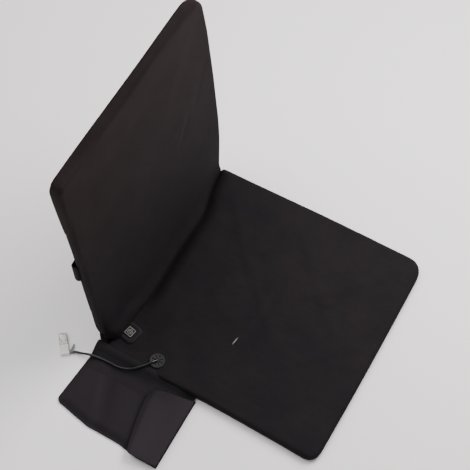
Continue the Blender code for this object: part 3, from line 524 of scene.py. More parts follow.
@dataclass(frozen=True)
class WovenFabric(Finish):
    """Plain-woven polyester: warp and weft cross at right angles, and each thread's hump catches the light."""

    high: str
    low: str
    pitch_mm: float = 1.3
    sheen: float = 0.02
    roughness: float = 0.8
    bump: float = 0.1
    weave: float = 0.1

    def gloss(self) -> dict:
        """Settings of the shader."""
        return {"Sheen Weight": self.sheen, "Sheen Roughness": 0.4, "IOR": 1.45, "Specular IOR Level": 0.14}

    def draw(self, tree: NodeTree, where: NodeSocket) -> dict:
        """Draws the weave.

        Args:
            tree: The material's node tree.
            where: The place on the piece.

        Returns:
            The shader's inputs.
        """
        # A real thread is 0.3 mm thick, so the weave is drawn as coarse as the picture can show
        size = {"wave_type": "BANDS", "Scale": 1000 / self.pitch_mm / 20}
        unevenness = {"Distortion": 0.6, "Detail": 1.0, "Detail Scale": 2.0}
        threads = [
            add(tree, "TexWave", size | unevenness | {"bands_direction": way}, {"Vector": where}).outputs["Fac"]
            for way in ("X", "Y")
        ]
        weave = add(tree, "Math", {"operation": "MAXIMUM"}, dict(enumerate(threads)))
        blotch = add(tree, "TexNoise", {"Scale": 22.0, "Detail": 4.0}, {"Vector": where})
        share = add(tree, "Math", {"operation": "MULTIPLY_ADD", 1: self.weave}, {0: weave, 2: blotch})
        plain = add(tree, "Mix", {"data_type": "RGBA", 6: linear(self.low), 7: linear(self.high)}, {0: share})
        # Painted shade and painted light on the pouch and the flap come from the mesh's attribute
        mark = add(tree, "Attribute", {"attribute_name": "painted_light_and_nap_tone"}).outputs["Fac"]
        light = add(tree, "Math", {"operation": "ADD", 1: 1.0}, {0: mark})
        multiply = {"data_type": "RGBA", "blend_type": "MULTIPLY", 0: 1.0}
        tone = add(tree, "Mix", multiply, {6: plain.outputs[2], 7: light})
        bump = add(tree, "Bump", {"Strength": self.bump, "Distance": self.pitch_mm / 8000}, {"Height": weave})
        limits = {"To Min": self.roughness - 0.08, "To Max": self.roughness + 0.1}
        rough = add(tree, "MapRange", limits, {"Value": blotch})
        return {"Base Color": tone.outputs[2], "Roughness": rough, "Normal": bump}


@dataclass(frozen=True)
class SlopeFabric(Finish):
    """The strip of cloth from the seat to the pouch: the seat's brushed cloth, stitched over the pouch's thinner one,
    so its tone passes from the one to the other."""

    seat_tone: str
    pouch_tone: str
    starts: float = -0.2045
    ends: float = -0.2185

    def gloss(self) -> dict:
        """Settings of the shader."""
        return {"Sheen Weight": 0.02, "Sheen Roughness": 0.45, "IOR": 1.45, "Specular IOR Level": 0.11}

    def draw(self, tree: NodeTree, where: NodeSocket) -> dict:
        """Draws the nap and its ragged end.

        Args:
            tree: The material's node tree.
            where: The place on the piece.

        Returns:
            The shader's inputs.
        """
        across = add(tree, "SeparateXYZ", links={0: where}).outputs[0]
        ragged = add(tree, "TexNoise", {"Scale": 60.0, "Detail": 2.0}, {"Vector": where})
        edge = add(tree, "Math", {"operation": "MULTIPLY_ADD", 1: 0.012}, {0: ragged, 2: across})
        share = add(tree, "MapRange", {"From Min": self.starts, "From Max": self.ends}, {"Value": edge})
        ends = {6: linear(self.seat_tone), 7: linear(self.pouch_tone)}
        tone = add(tree, "Mix", {"data_type": "RGBA"} | ends, {0: share})
        nap = add(tree, "TexNoise", {"Scale": 620.0, "Detail": 4.0}, {"Vector": where})
        bump = add(tree, "Bump", {"Strength": 0.25, "Distance": 0.0003}, {"Height": nap})
        rough = add(tree, "MapRange", {"To Min": 0.82, "To Max": 0.98}, {"Value": nap})
        return {"Base Color": tone.outputs[2], "Roughness": rough, "Normal": bump}


@dataclass(frozen=True)
class Moulded(Finish):
    """Moulded rubber or plastic: a fine eroded skin from the tool, with handling marks that change its gloss."""

    high: str
    low: str
    roughness: float
    grit_mm: float = 0.5
    bump: float = 0.15
    ior: float = 1.5
    shine: float = 0.5
    coat: float = 0.0
    metallic: float = 0.0
    transmission: float = 0.0

    def gloss(self) -> dict:
        """Settings of the shader."""
        skin = {"Metallic": self.metallic, "Transmission Weight": self.transmission, "Specular IOR Level": self.shine}
        skin |= {"Coat Weight": self.coat, "Coat Roughness": 0.2}
        return skin if self.metallic else skin | {"IOR": self.ior}

    def draw(self, tree: NodeTree, where: NodeSocket) -> dict:
        """Draws the marks and the grit.

        Args:
            tree: The material's node tree.
            where: The place on the piece.

        Returns:
            The shader's inputs.
        """
        smear = add(tree, "TexNoise", {"Scale": 160.0, "Detail": 3.0}, {"Vector": where})
        tone = add(tree, "Mix", {"data_type": "RGBA", 6: linear(self.low), 7: linear(self.high)}, {0: smear})
        grit = add(tree, "TexNoise", {"Scale": 1000 / self.grit_mm, "Detail": 2.0}, {"Vector": where})
        bump = add(tree, "Bump", {"Strength": self.bump, "Distance": self.grit_mm / 5000}, {"Height": grit})
        limits = {"To Min": self.roughness * 0.8, "To Max": self.roughness * 1.2}
        rough = add(tree, "MapRange", limits, {"Value": smear})
        return {"Base Color": tone.outputs[2], "Roughness": rough, "Normal": bump}


@dataclass(frozen=True)
class Looks:
    """Every finish on the pad, made once."""

    fabric: Material
    gusset: Material
    slope: Material
    pouch: Material
    flap: Material
    tape: Material
    rubber: Material
    grey_rubber: Material
    jacket: Material
    relief: Material
    white: Material
    ink: Material
    clear: Material
    steel: Material
    dark_plastic: Material
    board: Material
    paper: Material

    @classmethod
    def make(cls) -> "Looks":
        """Builds them all."""
        return cls(
            fabric=BrushedFabric("brushed black polyester", "221d1d", "1d1c1e", lint=True).make(),
            gusset=BrushedFabric("fold gusset of brushed polyester", "1b1919", "191819", nap_mm=1.3).make(),
            slope=SlopeFabric("seat fabric that runs out on the pouch", "1d1c1e", "201d20").make(),
            pouch=WovenFabric("pouch polyester cloth", "231d21", "1a1a1d").make(),
            flap=WovenFabric("flap polyester cloth", "2b262a", "212024", sheen=0.03).make(),
            tape=WovenFabric("woven binding tape", "181718", "111011", pitch_mm=1.8, bump=0.5, weave=0.45).make(),
            rubber=Moulded("moulded black rubber", "201f20", "1a191a", 0.75, shine=0.14).make(),
            grey_rubber=Moulded("moulded grey rubber", "2c2c2e", "242426", 0.55, shine=0.18).make(),
            jacket=Moulded("extruded PVC jacket", "1b1b1d", "151516", 0.34, bump=0.05, shine=0.34, coat=0.2).make(),
            relief=Moulded("moulded grey PVC", "777779", "5f5f61", 0.5).make(),
            white=Moulded("moulded white ABS", "eceae6", "dedbd5", 0.4, bump=0.06).make(),
            ink=Moulded("pale printing ink", "aeacaa", "a09e9c", 0.6, bump=0.05, shine=0.2).make(),
            clear=Moulded(
                "clear moulded polycarbonate", "f4f4f2", "ebebe8", 0.14, bump=0.03, ior=1.58, transmission=0.75
            ).make(),
            steel=Moulded("nickel-plated pressed steel", "c9c6c0", "b3b0aa", 0.24, bump=0.05, metallic=1.0).make(),
            dark_plastic=Moulded("moulded dark ABS", "2c2c2e", "212123", 0.45).make(),
            board=Moulded("solder-masked circuit board", "1d5a34", "154427", 0.4).make(),
            paper=Paper("matt white paper", "f4f4f4").make(),
        )


# Cushions


@dataclass(frozen=True)
class PanelForm:
    """Outline and thickness of one padded panel, seen flat: across, along from the fold, and height."""

    length: float
    draw_in_left: float
    draw_in_right: float
    corner_left: float
    corner_right: float
    half_width: float = 0.200
    thickness: float = 0.018
    fold_corner: float = 0.007
    rim: float = 0.0034

    def half_at(self, side: int, along: float | np.ndarray) -> float | np.ndarray:
        """Distance from the middle line to the left (-1) or right (1) edge."""
        draw_in = self.draw_in_left if side < 0 else self.draw_in_right
        return self.half_width - draw_in * (1 - along / self.length)

    def inset(self, points: np.ndarray) -> np.ndarray:
        """Distance of each point from the nearest edge."""
        across, along = points[:, 0], points[:, 1]
        sides = [self.half_at(side, along) - side * across for side in (-1, 1)]
        return np.minimum.reduce([*sides, along, self.length - along])

    def slab(self, name: str, shrink: float) -> Object:
        """Makes the panel as a slab with round corners and a round rim.

        Args:
            name: The object's name.
            shrink: How much lower its top starts, because it swells.

        Returns:
            The slab, lying flat.
        """
        bm = bmesh.new()
        bmesh.ops.create_cube(bm, size=1.0)
        corners = {}
        for vert in bm.verts:
            side = 1 if vert.co.x > 0 else -1
            along = self.length if vert.co.y > 0 else 0.0
            height = self.thickness - shrink if vert.co.z > 0 else GAP
            corners[vert] = (side, vert.co.y > 0)
            vert.co = (side * self.half_at(side, along), along, height)
        radii = {(-1, False): self.fold_corner, (1, False): self.fold_corner}
        radii |= {(-1, True): self.corner_left, (1, True): self.corner_right}
        round_off = {"affect": "EDGES", "profile": 0.5, "material": -1, "clamp_overlap": True}
        upright = [edge for edge in bm.edges if abs(edge.verts[0].co.z - edge.verts[1].co.z) > 0.001]
        for edge in upright:
            bmesh.ops.bevel(bm, geom=[edge], offset=radii[corners[edge.verts[0]]], segments=8, **round_off)
        level = [edge for edge in bm.edges if abs(edge.verts[0].co.z - edge.verts[1].co.z) < 1e-6]
        rim = [edge for edge in level if any(abs(face.normal.z) < 0.5 for face in edge.link_faces)]
        bmesh.ops.bevel(bm, geom=rim, offset=self.rim, segments=3, **round_off)
        return finish_mesh(bm, name)


@dataclass(frozen=True)
class Crease:
    """A soft wrinkle along a row of (across, along) points."""

    route: Table
    depth: float
    width: float

    def lift(self, points: np.ndarray) -> np.ndarray:
        """Height that the wrinkle adds: a valley with a low ridge beside it.

        Args:
            points: Rows of across, along and height.

        Returns:
            The change of height at each point.
        """
        near = np.full(len(points), 1e9)
        share = np.zeros(len(points))
        steps = len(self.route) - 1
        for i, (start, end) in enumerate(zip(self.route, self.route[1:])):
            a, b = np.array(start), np.array(end)
            t = np.clip(((points[:, :2] - a) @ (b - a)) / ((b - a) @ (b - a)), 0, 1)
            away = points[:, :2] - (a + t[:, None] * (b - a))
            turn = np.array((b[1] - a[1], a[0] - b[0])) / np.linalg.norm(b - a)
            distance = np.linalg.norm(away, axis=1)
            signed = np.where(away @ turn < 0, -distance, distance)
            better = distance < np.abs(near)
            near = np.where(better, signed, near)
            share = np.where(better, (i + t) / steps, share)
        fade = ease(0, 0.25, share) * ease(1, 0.75, share)
        valley = np.exp(-((near / self.width) ** 2))
        ridge = np.exp(-(((near - 2.0 * self.width) / (1.3 * self.width)) ** 2))
        return self.depth * fade * (0.6 * ridge - valley)


@dataclass
class Cushion:
    """A padded panel: a slab that is swollen by simulated cloth, capped, creased and brought to its place."""

    name: str
    body: Body
    form: PanelForm
    place: Matrix
    nodes: tuple[str, ...]
    creases: tuple[Crease, ...] = ()
    shrink: float = 0.0010
    voxel: float = 0.004
    border_swell: float = 0.0010
    crown_swell: float = 0.0044
    # Distances from the edge between which the border turns into the crown
    border_inset: float = 0.030
    crown_inset: float = 0.170
    frames: int = 20
    pressure: float = 4.0
    lump: float = 0.0007
    # Painted shade in each crease's valley and painted light on its ridge
    crease_painted_shade: float = 0.12
    band_tone: float = 0.12
    # Place across, and how far along the end band's seam lies there
    seam: Table = ((-0.2, 0.396), (0.2, 0.396))

    def build(self, looks: Looks) -> Object:
        """Makes the cushion.

        Args:
            looks: The finishes.

        Returns:
            The finished piece.
        """
        obj = self.form.slab(self.name, self.shrink)
        remesh = obj.modifiers.new("even cloth", "REMESH")
        remesh.mode = "VOXEL"
        remesh.voxel_size = self.voxel
        settled(obj)
        start = points_of(obj)
        swollen = self.swell(obj)
        points = self.shape(self.cap(start, swollen))
        rows = np.c_[points, np.ones(len(points))] @ np.array(self.place).T
        move_points(obj, rows[:, :3])
        bm = bmesh.new()
        bm.from_mesh(obj.data)
        write_mesh(bm, obj.data)
        mark_painted_light_and_tone(obj, self.shade)
        dress(obj, looks.fabric, self.body, "brushed_fabric", *self.nodes)
        soften(obj)
        return obj

    def swell(self, obj: Object) -> np.ndarray:
        """Blows the slab up a little as simulated cloth and returns its points."""
        scene = bpy.context.scene
        cloth = obj.modifiers.new("swelling", "CLOTH")
        cloth.settings.use_pressure = True
        cloth.settings.uniform_pressure_force = self.pressure
        cloth.settings.quality = 4
        cloth.settings.effector_weights.gravity = 0.0
        cloth.collision_settings.use_collision = False
        cloth.point_cache.frame_start = 1
        cloth.point_cache.frame_end = self.frames
        for step in range(1, self.frames + 1):
            scene.frame_set(step)
        settled(obj)
        scene.frame_set(1)
        return points_of(obj)

    def cap(self, start: np.ndarray, swollen: np.ndarray) -> np.ndarray:
        """Limits how far the cloth has moved: little at the border, more in the crowned middle.

        Args:
            start: The slab's points.
            swollen: The same points after the simulation.

        Returns:
            The points to keep.
        """
        inset = self.form.inset(start)
        crown = ease(self.border_inset, self.crown_inset, inset)
        limit = self.border_swell + (self.crown_swell - self.border_swell) * crown
        moved = swollen - start
        lift = np.where(start[:, 2] > self.form.thickness * 0.4, limit, 0.0)
        up = ease(0.008, 0.016, start[:, 2])
        moved[:, 2] = np.clip(moved[:, 2], 0, lift) * up
        moved[:, :2] = np.clip(moved[:, :2], -self.border_swell, self.border_swell)
        return start + moved

    def shape(self, points: np.ndarray) -> np.ndarray:
        """Adds the creases and the fine unevenness of the filling.

        Args:
            points: Rows of across, along and height.

        Returns:
            The shaped points.
        """
        top = self.on_top(points)
        made = points.copy()
        folded = np.zeros(len(points))
        for crease in self.creases:
            folded += crease.lift(points) * top
        made[:, 2] += folded
        # Painted shade in the creases' valleys and painted light on their ridges, less the darker nap of the end band
        self.shade = self.crease_painted_shade * np.clip(folded * 1000, -1.5, 1.5) - self.band_tone * self.band(points)
        wide, small = (
            np.array([noise.noise(Vector((x * pitch, y * pitch, layer))) for x, y, _ in points])
            for pitch, layer in ((9, 3.1), (24, 7.7))
        )
        made[:, 2] += self.lump * (wide + 0.5 * small) * top * ease(0.0, 0.04, self.form.inset(points))
        return made

    @staticmethod
    def on_top(points: np.ndarray) -> np.ndarray:
        """1 on the upper side of the panel and 0 below its rim, for each point."""
        return ease(0.010, 0.016, points[:, 2])

    def band(self, points: np.ndarray) -> np.ndarray:
        """Marks the band across the panel's far end, whose nap lies the other way.

        Args:
            points: Rows of across, along and height.

        Returns:
            1 on the band and 0 off it, for each point.
        """
        seam = read(self.seam, points[:, 0])
        return ease(seam - 0.001, seam + 0.003, points[:, 1])


@dataclass
class SeatCushion(Cushion):
    """The lying cushion, pressed down round the controller and the grommet."""

    creases: tuple[Crease, ...] = (
        Crease(
            ((0.179, 0.018), (0.144, 0.046), (0.060, 0.115), (0.015, 0.162), (-0.041, 0.216), (-0.089, 0.269)),
            0.00058,
            0.0072,
        ),
        Crease(((0.052, 0.119), (0.085, 0.160), (0.114, 0.193)), 0.00043, 0.0072),
        Crease(((0.172, 0.159), (0.119, 0.202), (0.062, 0.257), (0.011, 0.308), (-0.011, 0.339)), 0.00050, 0.0080),
        Crease(((0.008, 0.219), (0.049, 0.264), (0.077, 0.297), (0.116, 0.337), (0.164, 0.379)), 0.00043, 0.0072),
        Crease(((-0.090, 0.278), (-0.062, 0.310), (-0.029, 0.340), (0.018, 0.392)), 0.00050, 0.0065),
        Crease(((0.051, 0.195), (0.015, 0.198), (-0.021, 0.199), (-0.060, 0.194), (-0.091, 0.184)), -0.00050, 0.0065),
        Crease(((-0.087, 0.122), (-0.056, 0.165), (-0.026, 0.202)), 0.00043, 0.0072),
        Crease(((0.041, 0.123), (0.013, 0.111), (-0.018, 0.104), (-0.051, 0.110)), 0.00050, 0.0087),
        Crease(((-0.027, 0.112), (-0.054, 0.133), (-0.046, 0.159)), 0.00043, 0.0087),
        Crease(((0.069, 0.113), (0.106, 0.117), (0.145, 0.112)), 0.00050, 0.0080),
        Crease(((0.098, 0.091), (0.130, 0.098), (0.160, 0.106)), 0.00050, 0.0094),
        Crease(((-0.007, 0.051), (-0.063, 0.059), (-0.113, 0.064), (-0.150, 0.061)), 0.00050, 0.0101),
        Crease(((-0.024, 0.055), (-0.057, 0.080), (-0.110, 0.105)), 0.00043, 0.0087),
        Crease(((0.175, 0.012), (0.150, 0.030), (0.090, 0.042), (0.020, 0.045)), 0.00043, 0.0101),
    )
    # Centre of each rubber part, the radius that it holds down, and the radius where the cover is free again
    clamps: tuple[tuple[float, ...], ...] = ((-0.154, 0.0245, 0.0245, 0.040), (-0.176, 0.090, 0.0145, 0.030))
    clamp_groove: float = 0.0006
    # The bulge of the back presses a hollow along this line, which ends short of the controller
    hollow: Table = (
        (-0.127, 0.0172), (-0.091, 0.0206), (-0.040, 0.0197), (0.017, 0.0186), (0.065, 0.0193), (0.084, 0.0204),
        (0.101, 0.0190), (0.117, 0.0158), (0.133, 0.0110), (0.149, 0.0063), (0.165, 0.0030), (0.184, 0.0015),
    )
    hollow_depth: float = 0.0104
    hollow_width: float = 0.0260
    hollow_rear_width: float = 0.013
    hollow_shade: float = 0.6
    # How far along, and how far the left edge lies outside the plain outline there
    left_edge: Table = ((0.12, 0.0), (0.19, -0.0022), (0.24, -0.0014), (0.33, 0.0012), (0.385, 0.0036))

    def shape(self, points: np.ndarray) -> np.ndarray:
        """Presses the cover down where the rubber parts clamp it, and flares the front a little.

        Args:
            points: Rows of across, along and height.

        Returns:
            The shaped points.
        """
        made = super().shape(points)
        past = points[:, 1] - read(self.hollow, points[:, 0])
        away = np.clip(np.where(past > 0, past / self.hollow_width, -past / self.hollow_rear_width), 0, 1)
        ends = ease(-0.136, -0.055, points[:, 0]) * ease(0.1985, 0.182, points[:, 0])
        made[:, 2] -= self.hollow_depth * (1 - away) ** 2.0 * ends * ease(0.008, 0.0145, points[:, 2])
        self.shade -= self.hollow_shade * (1 - away) ** 1.3 * ends
        top = self.on_top(points)
        for across, along, hard, soft in self.clamps:
            away = np.hypot(points[:, 0] - across, points[:, 1] - along)
            press = (1 - ease(hard, soft, away)) * top
            made[:, 2] += (np.minimum(made[:, 2], SEAT_TOP - GAP) - made[:, 2]) * press
            made[:, 2] -= self.clamp_groove * np.exp(-(((away - hard - 0.004) / 0.004) ** 2)) * top
        right = 0.0018 + 0.0032 * ease(0.02, 0.24, points[:, 1])
        left = read(self.left_edge, points[:, 1])
        side = np.clip(points[:, 0] / self.form.half_width, -1, 1)
        made[:, 0] += np.where(side > 0, right, left) * side
        made[:, 0] += 0.0050 * ease(0.032, 0.0, points[:, 1]) * ease(-0.155, -0.195, points[:, 0])
        made[:, 1] += 0.0019 * ease(0.30, 0.40, points[:, 1]) * (1 - side**2)
        return made


@dataclass
class BackCushion(Cushion):
    """The standing cushion, whose right side bows forward under its own weight."""

    creases: tuple[Crease, ...] = (
        Crease(((-0.087, 0.398), (-0.026, 0.321), (0.037, 0.241), (0.105, 0.151), (0.185, 0.045)), 0.00036, 0.0065),
        Crease(((0.130, 0.301), (0.109, 0.267), (0.090, 0.237), (0.067, 0.209)), 0.00043, 0.0065),
        Crease(((0.183, 0.357), (0.165, 0.325), (0.144, 0.292), (0.116, 0.239)), 0.00043, 0.0087),
        Crease(((0.075, 0.370), (0.130, 0.303)), 0.00029, 0.0072),
        Crease(((-0.091, 0.460), (-0.131, 0.414), (-0.155, 0.343)), 0.00029, 0.0116),
    )
    # How far along, and how far each side bows forward there
    bow_right: Table = (
        (0.0, 0.0048), (0.06, 0.0086), (0.115, 0.0108), (0.172, 0.0104), (0.272, 0.0078), (0.400, 0.0024),
        (0.500, -0.0020),
    )
    bow_left: Table = (
        (0.0, 0.0020), (0.06, 0.0026), (0.115, 0.0030), (0.172, 0.0030), (0.272, 0.0025), (0.400, 0.0010),
        (0.500, 0.0),
    )
    # How far the upper right corner hangs in, and down
    droop_in: float = 0.0050
    droop_down: float = 0.0035
    band_slope: float = 0.45
    rim_sag: float = 0.0042
    left_flare: float = 0.0028
    band_tone: float = 0.24
    # Painted light on the left side face, which lifts it to the front's tone
    side_painted_light: float = 0.75
    seam: Table = (
        (-0.200, 0.4990), (-0.112, 0.4960), (-0.030, 0.4890), (0.057, 0.4915), (0.145, 0.4850), (0.190, 0.4800),
    )

    def shape(self, points: np.ndarray) -> np.ndarray:
        """Bows the panel.

        Args:
            points: Rows of across, along and height.

        Returns:
            The shaped points.
        """
        made = super().shape(points)
        share = np.clip((points[:, 0] + self.form.half_width) / (2 * self.form.half_width), 0, 1) ** 2.3
        right, left = (read(bow, points[:, 1]) for bow in (self.bow_right, self.bow_left))
        made[:, 2] += left + (right - left) * share
        droop = ease(0.38, 0.50, points[:, 1]) * ease(0.08, 0.20, points[:, 0])
        made[:, 0] -= self.droop_in * droop
        made[:, 1] -= self.droop_down * droop
        past_seam = np.maximum(points[:, 1] - read(self.seam, points[:, 0]), 0)
        made[:, 2] -= self.band_slope * past_seam * ease(0.004, 0.016, points[:, 2])
        sag = ease(0.30, 0.48, points[:, 1]) * ease(0.10, -0.17, points[:, 0]) * ease(0.012, 0.004, points[:, 2])
        made[:, 2] -= self.rim_sag * sag
        from_left = points[:, 0] + self.form.half_at(-1, points[:, 1])
        flare = ease(0.060, 0.0, from_left) * ease(0.004, 0.040, points[:, 1]) * ease(0.30, 0.19, points[:, 1])
        made[:, 0] -= self.left_flare * flare
        # Painted light on the left side face
        self.shade += self.side_painted_light * ease(0.0085, 0.0010, from_left)
        self.shade -= 0.08 * self.band(points) * ease(0.02, -0.18, points[:, 0])
        return made


# Fold


@dataclass
class Fold:
    """The soft corner between the panels: the back's cover bulges over the seat, and a gusset closes it behind."""

    # Place across, and how far the crease lies in front of the back's face there
    crease: Table = (
        (-0.1835, 0.0), (-0.1815, 0.0046), (-0.1786, 0.0095), (-0.1729, 0.0154), (-0.1648, 0.0186),
        (-0.1560, 0.0190), (-0.1453, 0.0198), (-0.1326, 0.0205), (-0.1220, 0.0207), (-0.1100, 0.0210),
        (-0.0910, 0.0229), (-0.0740, 0.0234), (-0.0400, 0.0224), (0.0110, 0.0209), (0.0465, 0.0208),
        (0.0840, 0.0222), (0.1010, 0.0205), (0.1170, 0.0171), (0.1330, 0.0122), (0.1490, 0.0075), (0.1650, 0.0040),
        (0.1830, 0.0028), (0.1955, 0.0020), (0.1985, 0.0),
    )
    # Height above the floor and share of the bulge, from where it leaves the back down and under it
    profile: Table = (
        (0.220, 0.0), (0.190, 0.005), (0.160, 0.020), (0.130, 0.055), (0.105, 0.105), (0.082, 0.170),
        (0.065, 0.250), (0.052, 0.342), (0.0430, 0.438), (0.0365, 0.538), (0.0320, 0.636), (0.0285, 0.726),
        (0.0255, 0.806), (0.0225, 0.875), (0.0195, 0.928), (0.0160, 0.965), (0.0120, 0.990), (0.0090, 1.0),
        (0.0084, 0.970), (0.0110, 0.900), (0.0170, 0.760), (0.0198, 0.540), (0.0208, 0.300), (0.0225, 0.080),
    )
    # Share of its tone taken off as painted shade down in the crease
    crease_shade: float = 0.6
    left: float = -0.1835
    right: float = 0.1985
    wall: float = 0.0016
    # How far the crease rises where it crosses the controller's corner
    over_controller: float = 0.0149
    # Radii of the gusset's two edges about the fold's axis, and its ends
    gusset_inner: float = 0.0062
    gusset_outer: float = 0.0244
    gusset_left: float = -0.1905
    gusset_right: float = 0.1975

    def belly(self, cushion: Object, looks: Looks) -> Object:
        """Makes the bulge of the back's cover over the seat.

        Args:
            cushion: The back cushion, whose face it grows out of.
            looks: The finishes.

        Returns:
            The finished piece.
        """
        graph = bpy.context.evaluated_depsgraph_get()
        tree = BVHTree.FromObject(cushion, graph)
        steps = 84
        outline = smooth_path([(0, height, share) for height, share in self.profile], steps)

        def place(u: float, v: float) -> Vector:
            """Place of the point at two shares of the sheet."""
            x = self.left + (self.right - self.left) * u
            _, height, share = on_path(outline, v)
            out = read(self.crease, x)
            face_y = self.face(x, height, tree)
            sink = 0.0003 + 0.0018 * (1 - min(out / 0.004, 1))
            lift = self.over_controller * ease(-0.086, -0.128, x) * ease(0.060, 0.024, height)
            return Vector((x, face_y - out * share + sink, height + lift))

        obj = surface("fold_belly", 190, steps, place, (0, -1, 0))
        points = points_of(obj)
        # Painted shade down in the crease, less where the crease rises over the controller
        over = ease(-0.086, -0.128, points[:, 0])
        deep = ease(0.023, 0.009, points[:, 2] - self.over_controller * over) * (1 - 0.6 * over)
        mark_painted_light_and_tone(obj, -self.crease_shade * deep)
        dress(obj, looks.fabric, Body.BACK, "brushed_fabric")
        thicken(obj, self.wall)
        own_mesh(obj)
        return obj

    def face(self, x: float, height: float, tree: BVHTree) -> float:
        """Finds the Y of the back cushion's front face.

        Args:
            x: Place across.
            height: Height above the floor.
            tree: The cushion's faces.

        Returns:
            The face's Y at rest.
        """
        level = max(height, 0.040)
        hit = tree.ray_cast(Vector((x, FOLD_Y - 0.1, level)), Vector((0, 1, 0)))[0]
        found = hit.y if hit else FOLD_Y + 0.006
        return found - (level - height) * math.tan(LEAN)

    def gusset(self, looks: Looks) -> Object:
        """Makes the band that closes the corner behind.

        Args:
            looks: The finishes.

        Returns:
            The finished piece.
        """
        bm = bmesh.new()
        bmesh.ops.create_grid(bm, x_segments=70, y_segments=1, size=0.5)
        for vert in bm.verts:
            radius = self.gusset_inner if vert.co.y < 0 else self.gusset_outer
            vert.co = (vert.co.x + 0.5, FOLD_Y, AXIS_HEIGHT - radius)
        axis = Vector((0, FOLD_Y, AXIS_HEIGHT))
        turn = {"cent": axis, "axis": (1, 0, 0), "angle": math.pi / 2 - LEAN}
        bmesh.ops.spin(bm, geom=bm.verts[:] + bm.edges[:] + bm.faces[:], steps=14, **turn)
        bmesh.ops.remove_doubles(bm, verts=bm.verts, dist=1e-6)
        for vert in bm.verts:
            arm = Vector((0, vert.co.y, vert.co.z)) - axis
            angle = math.atan2(arm.y, -arm.z)
            left = self.gusset_left + 0.0085 * float(ease(0.3, 1.45, angle))
            x = left + (self.gusset_right - left) * vert.co.x
            ripple = noise.noise(Vector((x * 30, angle * 2.2, 1.3))) * 0.0009
            # The back bows forward, more at its right, so the band gets thinner towards it
            bow = 0.0020 + 0.0034 * ((x + 0.2) / 0.4) ** 2.3
            slim = 1 - (0.0012 * angle + (0.0006 + bow) * float(ease(0.3, 1.5, angle))) / self.gusset_outer
            outer = arm.length > 0.015
            vert.co = Vector((x, 0, 0)) + axis + arm * (slim + ripple * math.sin(2 * angle) / 0.024 if outer else 1)
        obj = finish_mesh(bm, "fold_gusset")
        dress(obj, looks.gusset, None, "tape", "seat_fold_strip", "back_fold_strip")
        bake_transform(obj)
        soften(obj)
        return obj


# Heat controller


